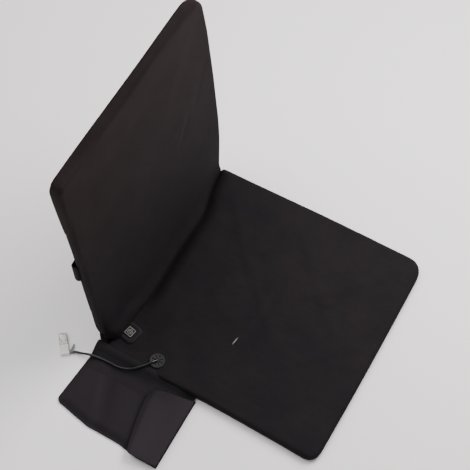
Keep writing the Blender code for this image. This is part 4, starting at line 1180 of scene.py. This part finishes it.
@dataclass
class Controller:
    """Rubber bezel with a pressed button, whose sign is a frame, a ring and the power symbol."""

    centre: tuple[float, float] = (-0.154, FOLD_Y - 0.0245)
    yaw: float = math.radians(-12)
    foot: float = SEAT_TOP + GAP
    height: float = 0.0030
    side: float = 0.034
    top_side: float = 0.027
    cap_side: float = 0.0164
    sign_side: float = 0.0140
    sign_inner_side: float = 0.0128
    ring_radius: float = 0.0044
    arc_radius: float = 0.0023
    arc_gap: float = math.radians(32)
    stroke: float = 0.0005
    bar_at: float = 0.0017
    sign_rise: float = 0.0002

    def frame_at(self, height: float) -> Matrix:
        """Place of the controller's own axes at a height."""
        return Matrix.Translation((*self.centre, height)) @ Matrix.Rotation(self.yaw, 4, "Z")

    def build(self, looks: Looks) -> list[Object]:
        """Makes bezel, button and sign.

        Args:
            looks: The finishes.

        Returns:
            The finished pieces.
        """
        place = self.frame_at(0)
        top = self.foot + self.height
        hole = self.cap_side + 2 * GAP
        rows = (
            (self.side - 0.0006, 0.0088, self.foot),
            (self.side, 0.009, self.foot + 0.0003),
            (self.side, 0.009, self.foot + 0.0010),
            (self.side - 0.0012, 0.0088, self.foot + 0.0018),
            (self.side - 0.0040, 0.0084, top - 0.0004),
            (self.top_side - 0.0006, 0.0078, top),
            (self.top_side - 0.0030, 0.0070, top - 0.0001),
            (self.top_side - 0.0040, 0.0062, top - 0.0007),
            (hole + 0.0030, 0.0036, top - 0.0008),
            (hole + 0.0010, 0.0028, top - 0.0002),
            (hole, 0.0026, top - 0.0005),
            (hole, 0.0026, top - 0.0022),
        )
        rings = [ring_points(side, side, corner, 8, height) for side, corner, height in rows]
        bezel = stack("controller_bezel_dress", rings, place, (True, False))
        dress(bezel, looks.rubber, Body.SEAT, "rubber", "controller_bezel")

        cap_top = top + 0.0010
        rows = (
            (self.cap_side + 0.0024, 0.0030, top - 0.0037),
            (self.cap_side + 0.0024, 0.0030, top - 0.0026),
            (self.cap_side, 0.0026, top - 0.0025),
            (self.cap_side, 0.0026, cap_top - 0.0005),
            (self.cap_side - 0.0003, 0.0025, cap_top - 0.0002),
            (self.cap_side - 0.0009, 0.0022, cap_top),
            (self.cap_side - 0.0020, 0.0016, cap_top),
            (self.cap_side - 0.0020, 0.0016, cap_top - 0.0003),
        )
        rings = [ring_points(side, side, corner, 6, height) for side, corner, height in rows]
        cap = stack("button_cap_dress", rings, place)
        dress(cap, looks.rubber, Body.BUTTON, "rubber", "button_cap")
        return [bezel, cap, self.sign(looks, cap_top)]

    def sign(self, looks: Looks, level: float) -> Object:
        """Makes the raised pale sign: a frame, a ring, and the power symbol's arc and bar.

        Args:
            looks: The finishes.
            level: Height of the button's top.

        Returns:
            The finished piece.
        """
        bm = bmesh.new()
        outer, inner = self.sign_side, self.sign_inner_side
        self.wall(bm, level, ring_points(outer, outer, 0.0006, 4), ring_points(inner, inner, 0.0003, 4))
        radii = (self.ring_radius, self.ring_radius - self.stroke)
        rings = [self.arc(radius, 0, 2 * math.pi, 40)[:-1] for radius in radii]
        self.wall(bm, level, *rings)
        start, end = math.pi / 2 + self.arc_gap, math.pi / 2 - self.arc_gap + 2 * math.pi
        arcs = [self.arc(radius, start, end, 24) for radius in (self.arc_radius, self.arc_radius - self.stroke)]
        self.wall(bm, level, *arcs, shut=False)
        bar = (ring_points(0.0006, 0.0024, 0.0002, 3), ring_points(0.0001, 0.0018, 0.00004, 3))
        self.wall(bm, level, *[[point + Vector((0, self.bar_at, 0)) for point in ring] for ring in bar])
        obj = finish_mesh(bm, "button_sign")
        return dress(obj, looks.ink, Body.BUTTON, "white_plastic", "button_label")

    def wall(self, bm: BMesh, level: float, outer: list[Vector], inner: list[Vector], shut: bool = True) -> None:
        """Raises the strip between two outlines of the sign.

        Args:
            bm: The sign's bmesh.
            level: Height of the button's top.
            outer: The strip's outer line.
            inner: Its inner line.
            shut: Whether the strip runs back to its start.
        """
        low, high = self.frame_at(level - self.sign_rise), self.frame_at(level + self.sign_rise)
        corners = ((outer, low), (outer, high), (inner, high), (inner, low))
        rows = [[bm.verts.new(place @ point) for point in ring] for ring, place in corners]
        for lower, upper in zip(rows, rows[1:]):
            for i in range(-1 if shut else 0, len(outer) - 1):
                bmesh.ops.contextual_create(bm, geom=[lower[i], lower[i + 1], upper[i + 1], upper[i]])
        for i in () if shut else (0, -1):
            bmesh.ops.contextual_create(bm, geom=[row[i] for row in rows])

    @staticmethod
    def arc(radius: float, start: float, end: float, steps: int) -> list[Vector]:
        """Points of an arc about the sign's middle, from one angle to another."""
        turns = [start + (end - start) * i / steps for i in range(steps + 1)]
        return [Vector((radius * math.cos(a), radius * math.sin(a), 0)) for a in turns]


# Grommet, cable and plug


@dataclass
class Grommet:
    """Turned rubber disc with a star of slits that the cable comes through."""

    centre: tuple[float, float] = (-0.176, FOLD_Y - 0.090)
    foot: float = SEAT_TOP + GAP
    height: float = 0.0028
    radius: float = 0.0130
    rim_rounding: float = 0.0012
    dish_radius: float = 0.0102
    dish_depth: float = 0.0006
    slits: int = 8
    slit_depth: float = 0.0017
    petal_sag: float = 0.00035

    def build(self, looks: Looks) -> Object:
        """Makes the disc and presses the slits into its face.

        Args:
            looks: The finishes.

        Returns:
            The finished piece.
        """
        top = self.foot + self.height
        dish = top - self.dish_depth
        rounding = self.rim_rounding
        rim = [(self.radius, self.foot), (self.radius, top - rounding)]
        for step in range(1, 6):
            angle = math.pi / 2 * step / 5
            rim.append((self.radius - rounding * (1 - math.cos(angle)), top - rounding + rounding * math.sin(angle)))
        inner = [(0.0108, top - 0.0001), (self.dish_radius, dish + 0.0001)]
        steps = 26
        face = [(self.dish_radius - (self.dish_radius - 0.0024) * i / steps, dish) for i in range(1, steps + 1)]
        profile = rim + inner + face + [(0.0022, dish - 0.0003), (0.0021, dish - 0.0016), (0.0, dish - 0.0018)]
        obj = turned("cable_grommet_dress", profile, Matrix.Identity(4), 160)
        points = points_of(obj)
        reach = np.hypot(points[:, 0], points[:, 1])
        angle = np.arctan2(points[:, 1], points[:, 0])
        step = 2 * math.pi / self.slits
        off = np.abs((angle + step / 2) % step - step / 2) * reach
        slot = (1 - ease(0.0007, 0.0011, off)) * ease(0.0028, 0.0034, reach) * ease(0.0100, 0.0094, reach)
        flat = points[:, 2] > dish - 0.0001
        points[:, 2] -= self.slit_depth * slot * flat
        petal = np.cos(off / np.maximum(reach, 1e-6) / step * math.pi) ** 2 * ease(self.dish_radius, 0.006, reach)
        points[:, 2] -= self.petal_sag * petal * flat * (1 - slot)
        points[:, 0] += self.centre[0]
        points[:, 1] += self.centre[1]
        move_points(obj, points)
        return dress(obj, looks.grey_rubber, Body.SEAT, "grey_rubber", "cable_grommet")


@dataclass
class Lead:
    """The short free cable, and the side-entry plug at its end."""

    # The route's points repeat the source: how far out from the seat's left edge, then Y from the fold, and Z
    route: tuple[Triple, ...] = (
        (-0.0210, -0.0880, 0.0232), (-0.0135, -0.0825, 0.0246), (-0.0010, -0.0716, 0.0225),
        (0.0095, -0.0560, 0.0162), (0.0143, -0.0380, 0.0126), (0.0148, -0.0176, 0.0121), (0.0160, 0.0010, 0.0121),
        (0.0190, 0.0165, 0.0116), (0.0220, 0.0310, 0.0066),
    )
    start: Triple = (-0.176, FOLD_Y - 0.090, 0.0219)
    plug_at: tuple[float, float] = (-0.237, FOLD_Y + 0.0535)
    plug_yaw: float = math.radians(38)
    relief_yaw: float = math.radians(-61)
    length: float = 0.0180
    width: float = 0.0160
    thick: float = 0.0082
    relief_length: float = 0.0060
    relief_root: float = 0.0035
    relief_tip: float = 0.0027
    relief_groove: float = 0.00035
    cap_wall: float = 0.0009

    def plug_place(self) -> Matrix:
        """Place of the plug's own axes: X runs along it towards its metal end."""
        return Matrix.Translation((*self.plug_at, self.thick / 2)) @ Matrix.Rotation(self.plug_yaw, 4, "Z")

    def relief_place(self) -> Matrix:
        """Place of the strain relief, whose X runs away from the plug along the cable."""
        side = Matrix.Translation((0.0042, -self.width / 2 - GAP, 0))
        return self.plug_place() @ side @ Matrix.Rotation(self.relief_yaw - self.plug_yaw, 4, "Z")

    def build(self, looks: Looks) -> list[Object]:
        """Makes the cable and everything on its end.

        Args:
            looks: The finishes.

        Returns:
            The finished pieces.
        """
        relief = self.relief(looks)
        lug = self.lug(looks)
        body = self.overmould(looks)
        cap = self.clear_cap(looks)
        along = self.relief_place()
        before = along @ Vector((self.relief_length + GAP + CABLE_WIDTH, 0, 0))
        tip = along @ Vector((self.relief_length + GAP, 0, 0))
        route = [(-(0.200 + out), FOLD_Y + y, z) for out, y, z in self.route]
        points = smooth_path([self.start, *route, tuple(before), tuple(tip)], 62)
        cable = cord_mesh("power_cable_dress", points, CABLE_WIDTH)
        dress(cable, looks.jacket, Body.SEAT, "cable", "power_cable", "inner_cable")
        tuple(self.start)
        return [cable, relief, body, cap]

    @staticmethod
    def across_rings(rows: list[tuple[float, ...]], steps: int = 6) -> list[list[Vector]]:
        """Outlines across the plug's axis.

        Args:
            rows: For each, its place along, width, height and corner radius.
            steps: Steps in each corner.

        Returns:
            The outlines in the plug's own axes.
        """
        return [[Vector((row[0], p.x, p.y)) for p in ring_points(*row[1:], steps)] for row in rows]

    def overmould(self, looks: Looks) -> Object:
        """Makes the plug's white body, with rounded ends and shallow grip grooves."""
        # Place along, how much narrower the body is there, and its corner
        rows = [(0.0, 0.0024, 0.0016), (0.0004, 0.0010, 0.0021), (0.0012, 0.0, 0.0024)]
        for i in range(5):
            at = 0.0050 + i * 0.0016
            rows += [(at, 0.0, 0.0024), (at + 0.0003, 0.0007, 0.0022)]
            rows += [(at + 0.0007, 0.0007, 0.0022), (at + 0.0010, 0.0, 0.0024)]
        end = self.length
        rows += [(end - 0.0010, 0.0, 0.0024), (end - 0.0003, 0.0006, 0.0022), (end, 0.0014, 0.0018)]
        rings = self.across_rings([(at, self.width - less, self.thick - less, corner) for at, less, corner in rows])
        obj = stack("plug_body", rings, self.plug_place())
        return dress(obj, looks.white, Body.SEAT, "white_plastic", "plug_overmould")

    def clear_cap(self, looks: Looks) -> Object:
        """Makes the clear cap as a thin shell with a rounded closed end."""
        start, length, wide, tall = self.length + GAP, 0.0208, 0.0150, 0.0075
        shape = [(0.0, 0.0, 0.0020), (0.0012, 0.0, 0.0020), (0.0016, 0.0004, 0.0019), (length - 0.0018, 0.0004, 0.0019)]
        shape += [(length - 0.0008, 0.0010, 0.0017), (length - 0.0002, 0.0022, 0.0012), (length, 0.0034, 0.0008)]
        rows = [(start + at, wide - less, tall - less, corner) for at, less, corner in shape]
        obj = stack("plug_cap_dress", self.across_rings(rows), self.plug_place(), (False, True))
        thicken(obj, self.cap_wall)
        return dress(obj, looks.clear, Body.CAP, "clear_plastic", "plug_cap")

    def relief(self, looks: Looks) -> Object:
        """Makes the ribbed strain relief where the cable enters the plug."""
        place = self.relief_place()
        rows = []
        for i in range(25):
            share = i / 24
            radius = self.relief_root + (self.relief_tip - self.relief_root) * share
            radius -= self.relief_groove if i % 6 in (3, 4) else 0.0
            rows.append((-0.0004 + 0.0064 * share, radius))
        turns = [2 * math.pi * k / 28 for k in range(28)]
        rings = [[Vector((along, wide * math.cos(a), wide * math.sin(a))) for a in turns] for along, wide in rows]
        obj = stack("strain_relief_dress", rings, place)
        return dress(obj, looks.relief, Body.SEAT, "cable", "strain_relief")

    def lug(self, looks: Looks) -> Object:
        """Makes the short soft lug that stands off the plug's flank beside the relief."""
        root = self.relief_place() @ Vector((0.0016, 0, 0))
        place = Matrix.Translation(root) @ Matrix.Rotation(math.radians(8), 4, "Z")
        rows = ((0.0, 0.0026), (0.0030, 0.0028), (0.0080, 0.0030), (0.0128, 0.0031), (0.0142, 0.0028), (0.0150, 0.0018))
        rings = self.across_rings([(along, wide, wide * 0.7, wide * 0.3) for along, wide in rows], 4)
        obj = stack("plug_lug", rings, place)
        return dress(obj, looks.relief, Body.SEAT, "cable")


# Side pouch


@dataclass
class Pouch:
    """A flat pocket beside the seat: two sheets, a flap over its mouth, and the slope that joins it to the seat."""

    middle: float = -0.2638
    wall: float = 0.0012
    skew: float = math.radians(10)
    # Y of a point on the outer edge, and its X
    outer_edge: Table = (
        (0.023, -0.3330), (0.060, -0.3325), (0.080, -0.3290), (0.095, -0.3262), (0.114, -0.3258), (0.156, -0.3252),
        (0.187, -0.3192), (0.206, -0.3150), (0.2175, -0.3126), (0.2215, -0.3095), (0.2235, -0.3039),
    )
    rear_inner: float = 0.2140
    rear_outer: float = 0.2235
    edge_height: float = 0.0030
    rise_width: float = 0.016
    hem_depth: float = 0.0005
    hem_width: float = 0.0012
    wave: float = 0.0014
    slope_wall: float = 0.0010
    flap_wall: float = 0.0017
    flap_root: float = POUCH_FRONT - 0.001
    flap_reach: float = 0.0735
    flap_inner: float = -0.2110
    flap_width: float = 0.1245
    # Share of the flap's reach, then the X of its inner and its outer edge there
    flap_edges: tuple[Triple, ...] = (
        (0.0, -0.2070, -0.3322), (0.10, -0.2086, -0.3334), (0.33, -0.2108, -0.3342), (0.57, -0.2136, -0.3352),
        (0.79, -0.2187, -0.3352), (0.88, -0.2212, -0.3345), (0.95, -0.2240, -0.3320), (1.0, -0.2290, -0.3280),
    )

    def build(self, looks: Looks) -> list[Object]:
        """Makes all of the pouch.

        Args:
            looks: The finishes.

        Returns:
            The finished pieces.
        """
        return [
            self.back_sheet(looks),
            self.front_sheet(looks),
            self.slope(looks),
            self.flap(looks),
            self.patch(looks, "flap_hook_dress", Body.FLAP, 0.0109, "flap_hook_patch"),
            self.patch(looks, "pouch_loop_dress", Body.POUCH, 0.0098, "pouch_loop_patch"),
        ]

    def swell(self, x: float, y: float) -> float:
        """Soft waves of the pouch's cloth, which run from the cable's side outwards."""
        at = (y - 0.200) - 0.37 * (x + 0.221) + 0.0124
        waves = ((1.5, 0.0, 0.010), (-1.4, 0.020, 0.010), (0.8, 0.055, 0.016))
        return 0.55 + sum(height * math.exp(-(((at + back) / width) ** 2)) for height, back, width in waves)

    def flap_end(self, across: float | np.ndarray) -> float | np.ndarray:
        """Y of the flap's free edge at a share of its width."""
        return self.flap_root + self.flap_reach - 0.0185 * across + 0.0030 * np.sin(math.pi * across)

    def level(self, x: float, y: float) -> float:
        """Height of the pouch's upper sheet."""
        outer = read(self.outer_edge, y)
        end = self.rear_inner + (self.rear_outer - self.rear_inner) * (POUCH_INNER - x) / (POUCH_INNER - outer)
        inset = min(POUCH_INNER - x + 0.004, x - outer, end - y)
        rise = float(ease(0.0, self.rise_width, inset))
        hem = self.hem_depth * math.exp(-(((inset - 0.0045) / self.hem_width) ** 2))
        swell = self.wave * self.swell(x, y) * float(ease(0.010, 0.040, inset))
        return self.edge_height + (POUCH_TOP - 0.0045) * rise + swell - hem

    def spread(self, across: float, level: float, front: float, rear: float, inset: float) -> tuple[float, float]:
        """Fits a point of a plain oblong into the pouch's real outline, which is a little askew.

        Args:
            across: Share from the inner to the outer edge.
            level: The point's Y in the oblong.
            front: The oblong's front end.
            rear: Its rear end.
            inset: How far inside the outline the sheet ends.

        Returns:
            X and Y of the point.
        """
        share = (level - front) / (rear - front)
        far = front + (self.rear_outer - front) * share
        outer = read(self.outer_edge, far) + inset
        x = POUCH_INNER - inset + (outer - POUCH_INNER + inset) * across
        end = self.rear_inner + (self.rear_outer - self.rear_inner) * across - inset
        return x, front + (end - front) * share

    def back_sheet(self, looks: Looks) -> Object:
        """Makes the lower sheet, which turns up at the front into the fold that carries the flap."""
        front, rear = POUCH_FRONT + 0.0012, POUCH_REAR - 0.0006
        flat = [(0, rear, 0.0013), (0, 0.12, 0.0013), (0, front + 0.004, 0.0013)]
        upturn = [(0, front + 0.0006, 0.0030), (0, front, 0.0070), (0, front + 0.0006, 0.0110)]
        run = smooth_path(flat + upturn, 60)

        def place(u: float, v: float) -> Vector:
            """Place of the point at two shares of the sheet."""
            point = on_path(run, v)
            x, y = self.spread(u, point.y, front, rear, 0.0006)
            return Vector((x, y, point.z))

        obj = surface("pouch_back_dress", 60, 80, place, (0, 0, 1))
        thicken(obj, self.wall, 0.0)
        dress(obj, looks.pouch, Body.POUCH, "pouch_fabric", "pouch_back_sheet")
        return obj

    def front_sheet(self, looks: Looks) -> Object:
        """Makes the upper sheet, sewn down on three sides, with an open mouth under the flap."""
        mouth, rear = 0.044, POUCH_REAR

        def place(u: float, v: float) -> Vector:
            """Place of the point at two shares of the sheet."""
            x, y = self.spread(u, mouth + (rear - mouth) * v, mouth, rear, 0.0)
            return Vector((x, y, self.level(x, y)))

        obj = surface("pouch_front_dress", 90, 110, place, (0, 0, 1))
        points = points_of(obj)
        # Painted light on the raised waves, painted shade in the low ones, and a painted shadow beside the flap's free
        # edge
        waves = np.array([self.swell(x, y) for x, y, _ in points])
        beside_flap = points[:, 1] - self.flap_end((self.flap_inner - points[:, 0]) / self.flap_width)
        mark_painted_light_and_tone(obj, 0.10 * (waves - 0.7) - 0.35 * ease(0.011, 0.001, beside_flap))
        thicken(obj, self.wall)
        dress(obj, looks.pouch, Body.POUCH, "pouch_fabric", "pouch_front_sheet")
        return obj

    def slope(self, looks: Looks) -> Object:
        """Makes the cloth that slopes from the seat's upper edge to the pouch, under the cable."""
        # X and height down the slope, where it is high beside the cable, and where it is low in front
        high = [(-0.1885, 0.0166), (-0.1910, 0.0177), (-0.1935, 0.0184), (-0.1965, 0.0183), (-0.1995, 0.0173)]
        high += [(-0.2025, 0.0155), (-0.2060, 0.0131), (-0.2100, 0.0114), (-0.2150, 0.0103), (-0.2230, 0.0097)]
        high += [(-0.2330, 0.0091), (-0.2440, 0.0083)]
        low = [(-0.1975, 0.0060), (-0.1985, 0.0059), (-0.1992, 0.0058), (-0.1998, 0.0056), (-0.2004, 0.0054)]
        low += [(-0.2010, 0.0051), (-0.2016, 0.0047), (-0.2024, 0.0043), (-0.2034, 0.0040), (-0.2046, 0.0038)]
        low += [(-0.2060, 0.0036), (-0.2080, 0.0034)]
        upper, lower = (smooth_path([(x, 0, z) for x, z in section], 36) for section in (high, low))
        front, rear = POUCH_FRONT + 0.001, 0.2150

        def place(u: float, v: float) -> Vector:
            """Place of the point at two shares of the sheet."""
            y = front + (rear - front) * v
            share = float(ease(0.030, 0.062, y) * (0.55 + 0.45 * ease(0.084, 0.108, y)))
            point = lower[round(u * 36)].lerp(upper[round(u * 36)], share)
            ripple = 0.0003 * share * noise.noise(Vector((point.x * 60, y * 40, 0.4)))
            height = point.z + ripple * float(ease(0.0, 0.2, u))
            laid = float(ease(-0.208, -0.222, point.x)) * share
            edge = 0.0003 * float(ease(rear, 0.2080, y)) - 0.0011 * float(ease(0.84, 1.0, u))
            return Vector((point.x, y, height + (self.level(point.x, y) + edge - height) * laid))

        obj = surface("pouch_slope", 36, 90, place, (-0.3, 0, 1))
        thicken(obj, self.slope_wall)
        dress(obj, looks.slope, None, "tape", "pouch_seam_tape")
        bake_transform(obj)
        return obj

    def flap(self, looks: Looks) -> Object:
        """Makes the flap from the front fold, a little askew, with a hem along its free edge."""
        shares, inner, outer = zip(*self.flap_edges)

        def place(u: float, v: float) -> Vector:
            """Place of the point at two shares of the sheet."""
            start, end = (float(np.interp(v, shares, edge)) for edge in (inner, outer))
            x = start + (end - start) * u
            y = self.flap_root + (float(self.flap_end(u)) - self.flap_root) * v
            slant = u - 0.9 * v
            wave = 0.0011 * math.sin(5.2 * slant - 0.6) + 0.0005 * math.sin(9.0 * v + 3.0 * u)
            hem = self.hem_depth * math.exp(-(((1 - v) * 0.064 - 0.005) / self.hem_width) ** 2)
            arch = 0.0024 * float(ease(0.45, 0.84, v)) - 0.0026 * float(ease(0.86, 1.0, v))
            return Vector((x, y, 0.0133 + wave * float(ease(0.0, 0.3, v)) - hem + arch))

        obj = surface("pouch_flap_dress", 70, 50, place, (0, 0, 1))
        points = points_of(obj)
        across = (self.flap_inner - points[:, 0]) / self.flap_width
        along = (points[:, 1] - self.flap_root) / (self.flap_end(across) - self.flap_root)
        # Painted shade towards the flap's free edge, beside the seat and at its outer edge
        seat_side_shade = 0.28 * ease(0.30, 0.02, across) * ease(0.2, 0.7, along)
        mark_painted_light_and_tone(obj, -0.34 * ease(0.80, 0.98, along) - seat_side_shade - 0.12 * ease(0.92, 1.0, across))
        thicken(obj, self.flap_wall, 0.0)
        dress(obj, looks.flap, Body.FLAP, "pouch_fabric", "pouch_flap")
        return obj

    def patch(self, looks: Looks, name: str, body: Body, low: float, node: str) -> Object:
        """Makes one of the two fastener patches.

        Args:
            looks: The finishes.
            name: The object's name.
            body: What it is sewn to.
            low: Height of its underside.
            node: The solid that it replaces.

        Returns:
            The patch.
        """
        corner = Matrix.Translation((self.middle, POUCH_FRONT, 0))
        place = corner @ Matrix.Rotation(self.skew, 4, "Z") @ Matrix.Translation((0, 0.045, 0))
        rows = ((0.0008, 0.0), (0.0, 0.0002), (0.0, 0.0006), (0.0008, 0.0008))
        rings = [ring_points(0.0600 - less, 0.0180 - less, 0.002, 5, low + rise) for less, rise in rows]
        obj = stack(name, rings, place)
        return dress(obj, looks.tape, body, "tape", node)


# Elastic strap


@dataclass
class Strap:
    """Elastic band across the rear of the back, sewn to its side edges with a small slack bow at each end."""

    low: float = 0.228
    width: float = 0.044
    thick: float = 0.0015
    bow: float = 0.0033
    # How much lower the band's left end is sewn on
    slant: float = 0.009

    def build(self, looks: Looks, form: PanelForm) -> Object:
        """Makes the strap.

        Args:
            looks: The finishes.
            form: The back panel.

        Returns:
            The finished piece.
        """
        rear = -GAP - self.thick / 2
        seam = form.thickness / 2
        right, left = form.half_at(1, self.low + self.width), form.half_at(-1, self.low + self.width)
        route = []
        for side, half in ((1, right), (-1, left)):
            arm = []
            for step in range(9):
                angle = math.pi / 2 - math.pi * step / 8
                out = half + GAP + (self.bow - self.thick / 2) * math.cos(angle)
                arm.append((side * out, (rear + seam) / 2 + (seam - rear) / 2 * math.sin(angle)))
            route += arm if side > 0 else [(right * (1 - 2 * i / 20), rear) for i in range(1, 20)] + arm[::-1]
        path = smooth_path([(across, height, 0) for across, height in route], 120)
        standing = standing_place()

        def place(u: float, v: float) -> Vector:
            """Place of the point at two shares of the sheet."""
            point = on_path(path, u)
            slant = self.slant * float(ease(0.02, -0.19, point.x))
            return standing @ Vector((point.x, self.low - slant + self.width * v, point.y))

        obj = surface("rear_strap", 240, 16, place, (0, 1, 0))
        thicken(obj, self.thick, 0.0)
        dress(obj, looks.tape, Body.BACK, "tape", "rear_elastic_strap")
        return obj


# Place of the panels


def lying_place() -> Matrix:
    """Takes (across, along, height) of the seat to the frame."""
    return Matrix.Translation((0, FOLD_Y, 0)) @ Matrix.Scale(-1, 4, (0, 1, 0))


def standing_place() -> Matrix:
    """Takes (across, along, height) of the back to the frame."""
    pivot = Matrix.Translation((0, FOLD_Y, AXIS_HEIGHT)) @ Matrix.Rotation(-LEAN, 4, "X")
    return pivot @ Matrix.Translation((0, 0.023, 0.003)) @ Matrix.Rotation(math.pi / 2, 4, "X")


# Studio


@dataclass
class Studio:
    """Pale floor, soft light and the photograph's camera."""

    azimuth: float = math.radians(-61.44)
    elevation: float = math.radians(62.97)
    roll: float = math.radians(0.66)
    distance: float = 2.496
    target: Triple = (0.1001, 0.1163, 0.0)
    focal_pixels: float = 1429.0
    picture_pixels: int = 470

    def build(self, looks: Looks) -> None:
        """Makes floor, world, lights and camera."""
        self.camera()
        self.floor(looks)
        self.world()
        self.lamp("key", (0.69, -0.27, 1.07), 0.8, 23.5)
        self.lamp("top", (0.1, 1.1, 2.4), 2.0, 52.0)
        self.lamp("fill", (-2.2, -1.2, 2.0), 2.4, 2.0)

    def camera(self) -> None:
        """Stands the camera where the photograph was taken."""
        az, el = self.azimuth, self.elevation
        back = Vector((math.sin(az) * math.cos(el), -math.cos(az) * math.cos(el), math.sin(el)))
        right = Vector((0, 0, 1)).cross(back).normalized()
        up = back.cross(right)
        across = math.cos(self.roll) * right + math.sin(self.roll) * up
        upward = -math.sin(self.roll) * right + math.cos(self.roll) * up
        data = bpy.data.cameras.new("camera")
        data.sensor_width = 36
        data.lens = self.focal_pixels * data.sensor_width / self.picture_pixels
        camera = linked("camera", data)
        place = Matrix((across, upward, back)).transposed().to_4x4()
        place.translation = Vector(self.target) + back * self.distance
        camera.matrix_world = place
        bpy.context.scene.camera = camera

    def floor(self, looks: Looks) -> None:
        """Lays the pale floor."""
        bm = bmesh.new()
        bmesh.ops.create_grid(bm, x_segments=1, y_segments=1, size=6)
        floor = finish_mesh(bm, "floor", recalc=False)
        floor.data.materials.append(looks.paper)

    def world(self) -> None:
        """Lights everything softly from all round."""
        world = bpy.data.worlds.new("studio")
        bpy.context.scene.world = world
        world.use_nodes = True
        background = world.node_tree.nodes["Background"]
        background.inputs["Color"].default_value = (0.97, 0.98, 1.0, 1.0)
        background.inputs["Strength"].default_value = 0.44

    def lamp(self, name: str, place: Triple, size: float, power: float) -> None:
        """Hangs a square soft light that faces the pad."""
        data = bpy.data.lights.new(name, "AREA")
        data.size = size
        data.energy = power
        data.color = (1.0, 0.93, 0.92)
        lamp = linked(name, data)
        lamp.location = place
        lamp.rotation_mode = "QUATERNION"
        lamp.rotation_quaternion = (Vector((0, 0, 0.1)) - Vector(place)).to_track_quat("-Z", "Y")


def dress_nodes(looks: Looks) -> None:
    """Gives the solids that stay shown their finishes."""
    shown = {
        "controller_box": looks.dark_plastic,
        "control_board": looks.board,
        "tact_switch": looks.steel,
        "status_led": looks.white,
        "usb_shell": looks.steel,
        "usb_tongue": looks.white,
    }
    for name, look in shown.items():
        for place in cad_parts[name].material_slots:
            place.material = look
        log.info("%s: finish only", name)


def main() -> None:
    """Builds the pad piece by piece."""
    logging.basicConfig(level=logging.INFO, format="%(name)s %(message)s")
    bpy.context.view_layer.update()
    looks = Looks.make()
    Studio().build(looks)
    Lead().build(looks)
    seat_form = PanelForm(0.400, 0.0, 0.0, 0.020, 0.027)
    back_form = PanelForm(0.500, 0.0150, 0.001, 0.020, 0.046)
    layers = ("foam", "heating_felt", "heating_wire", "thermal_cutout")
    seat = SeatCushion(
        "seat_cushion",
        Body.SEAT,
        seat_form,
        lying_place(),
        ("seat_top_cover", "seat_grip_base", *(f"seat_{layer}" for layer in layers)),
    )
    seat.build(looks)
    back = BackCushion(
        "back_cushion",
        Body.BACK,
        back_form,
        standing_place(),
        ("back_front_cover", "back_rear_cover", *(f"back_{layer}" for layer in layers)),
        crown_swell=0.0036,
    )
    back_piece = back.build(looks)
    fold = Fold()
    fold.belly(back_piece, looks)
    fold.gusset(looks)
    Controller().build(looks)
    Grommet().build(looks)
    Pouch().build(looks)
    Strap().build(looks, back_form)
    dress_nodes(looks)


if __name__ == "__main__":
    main()
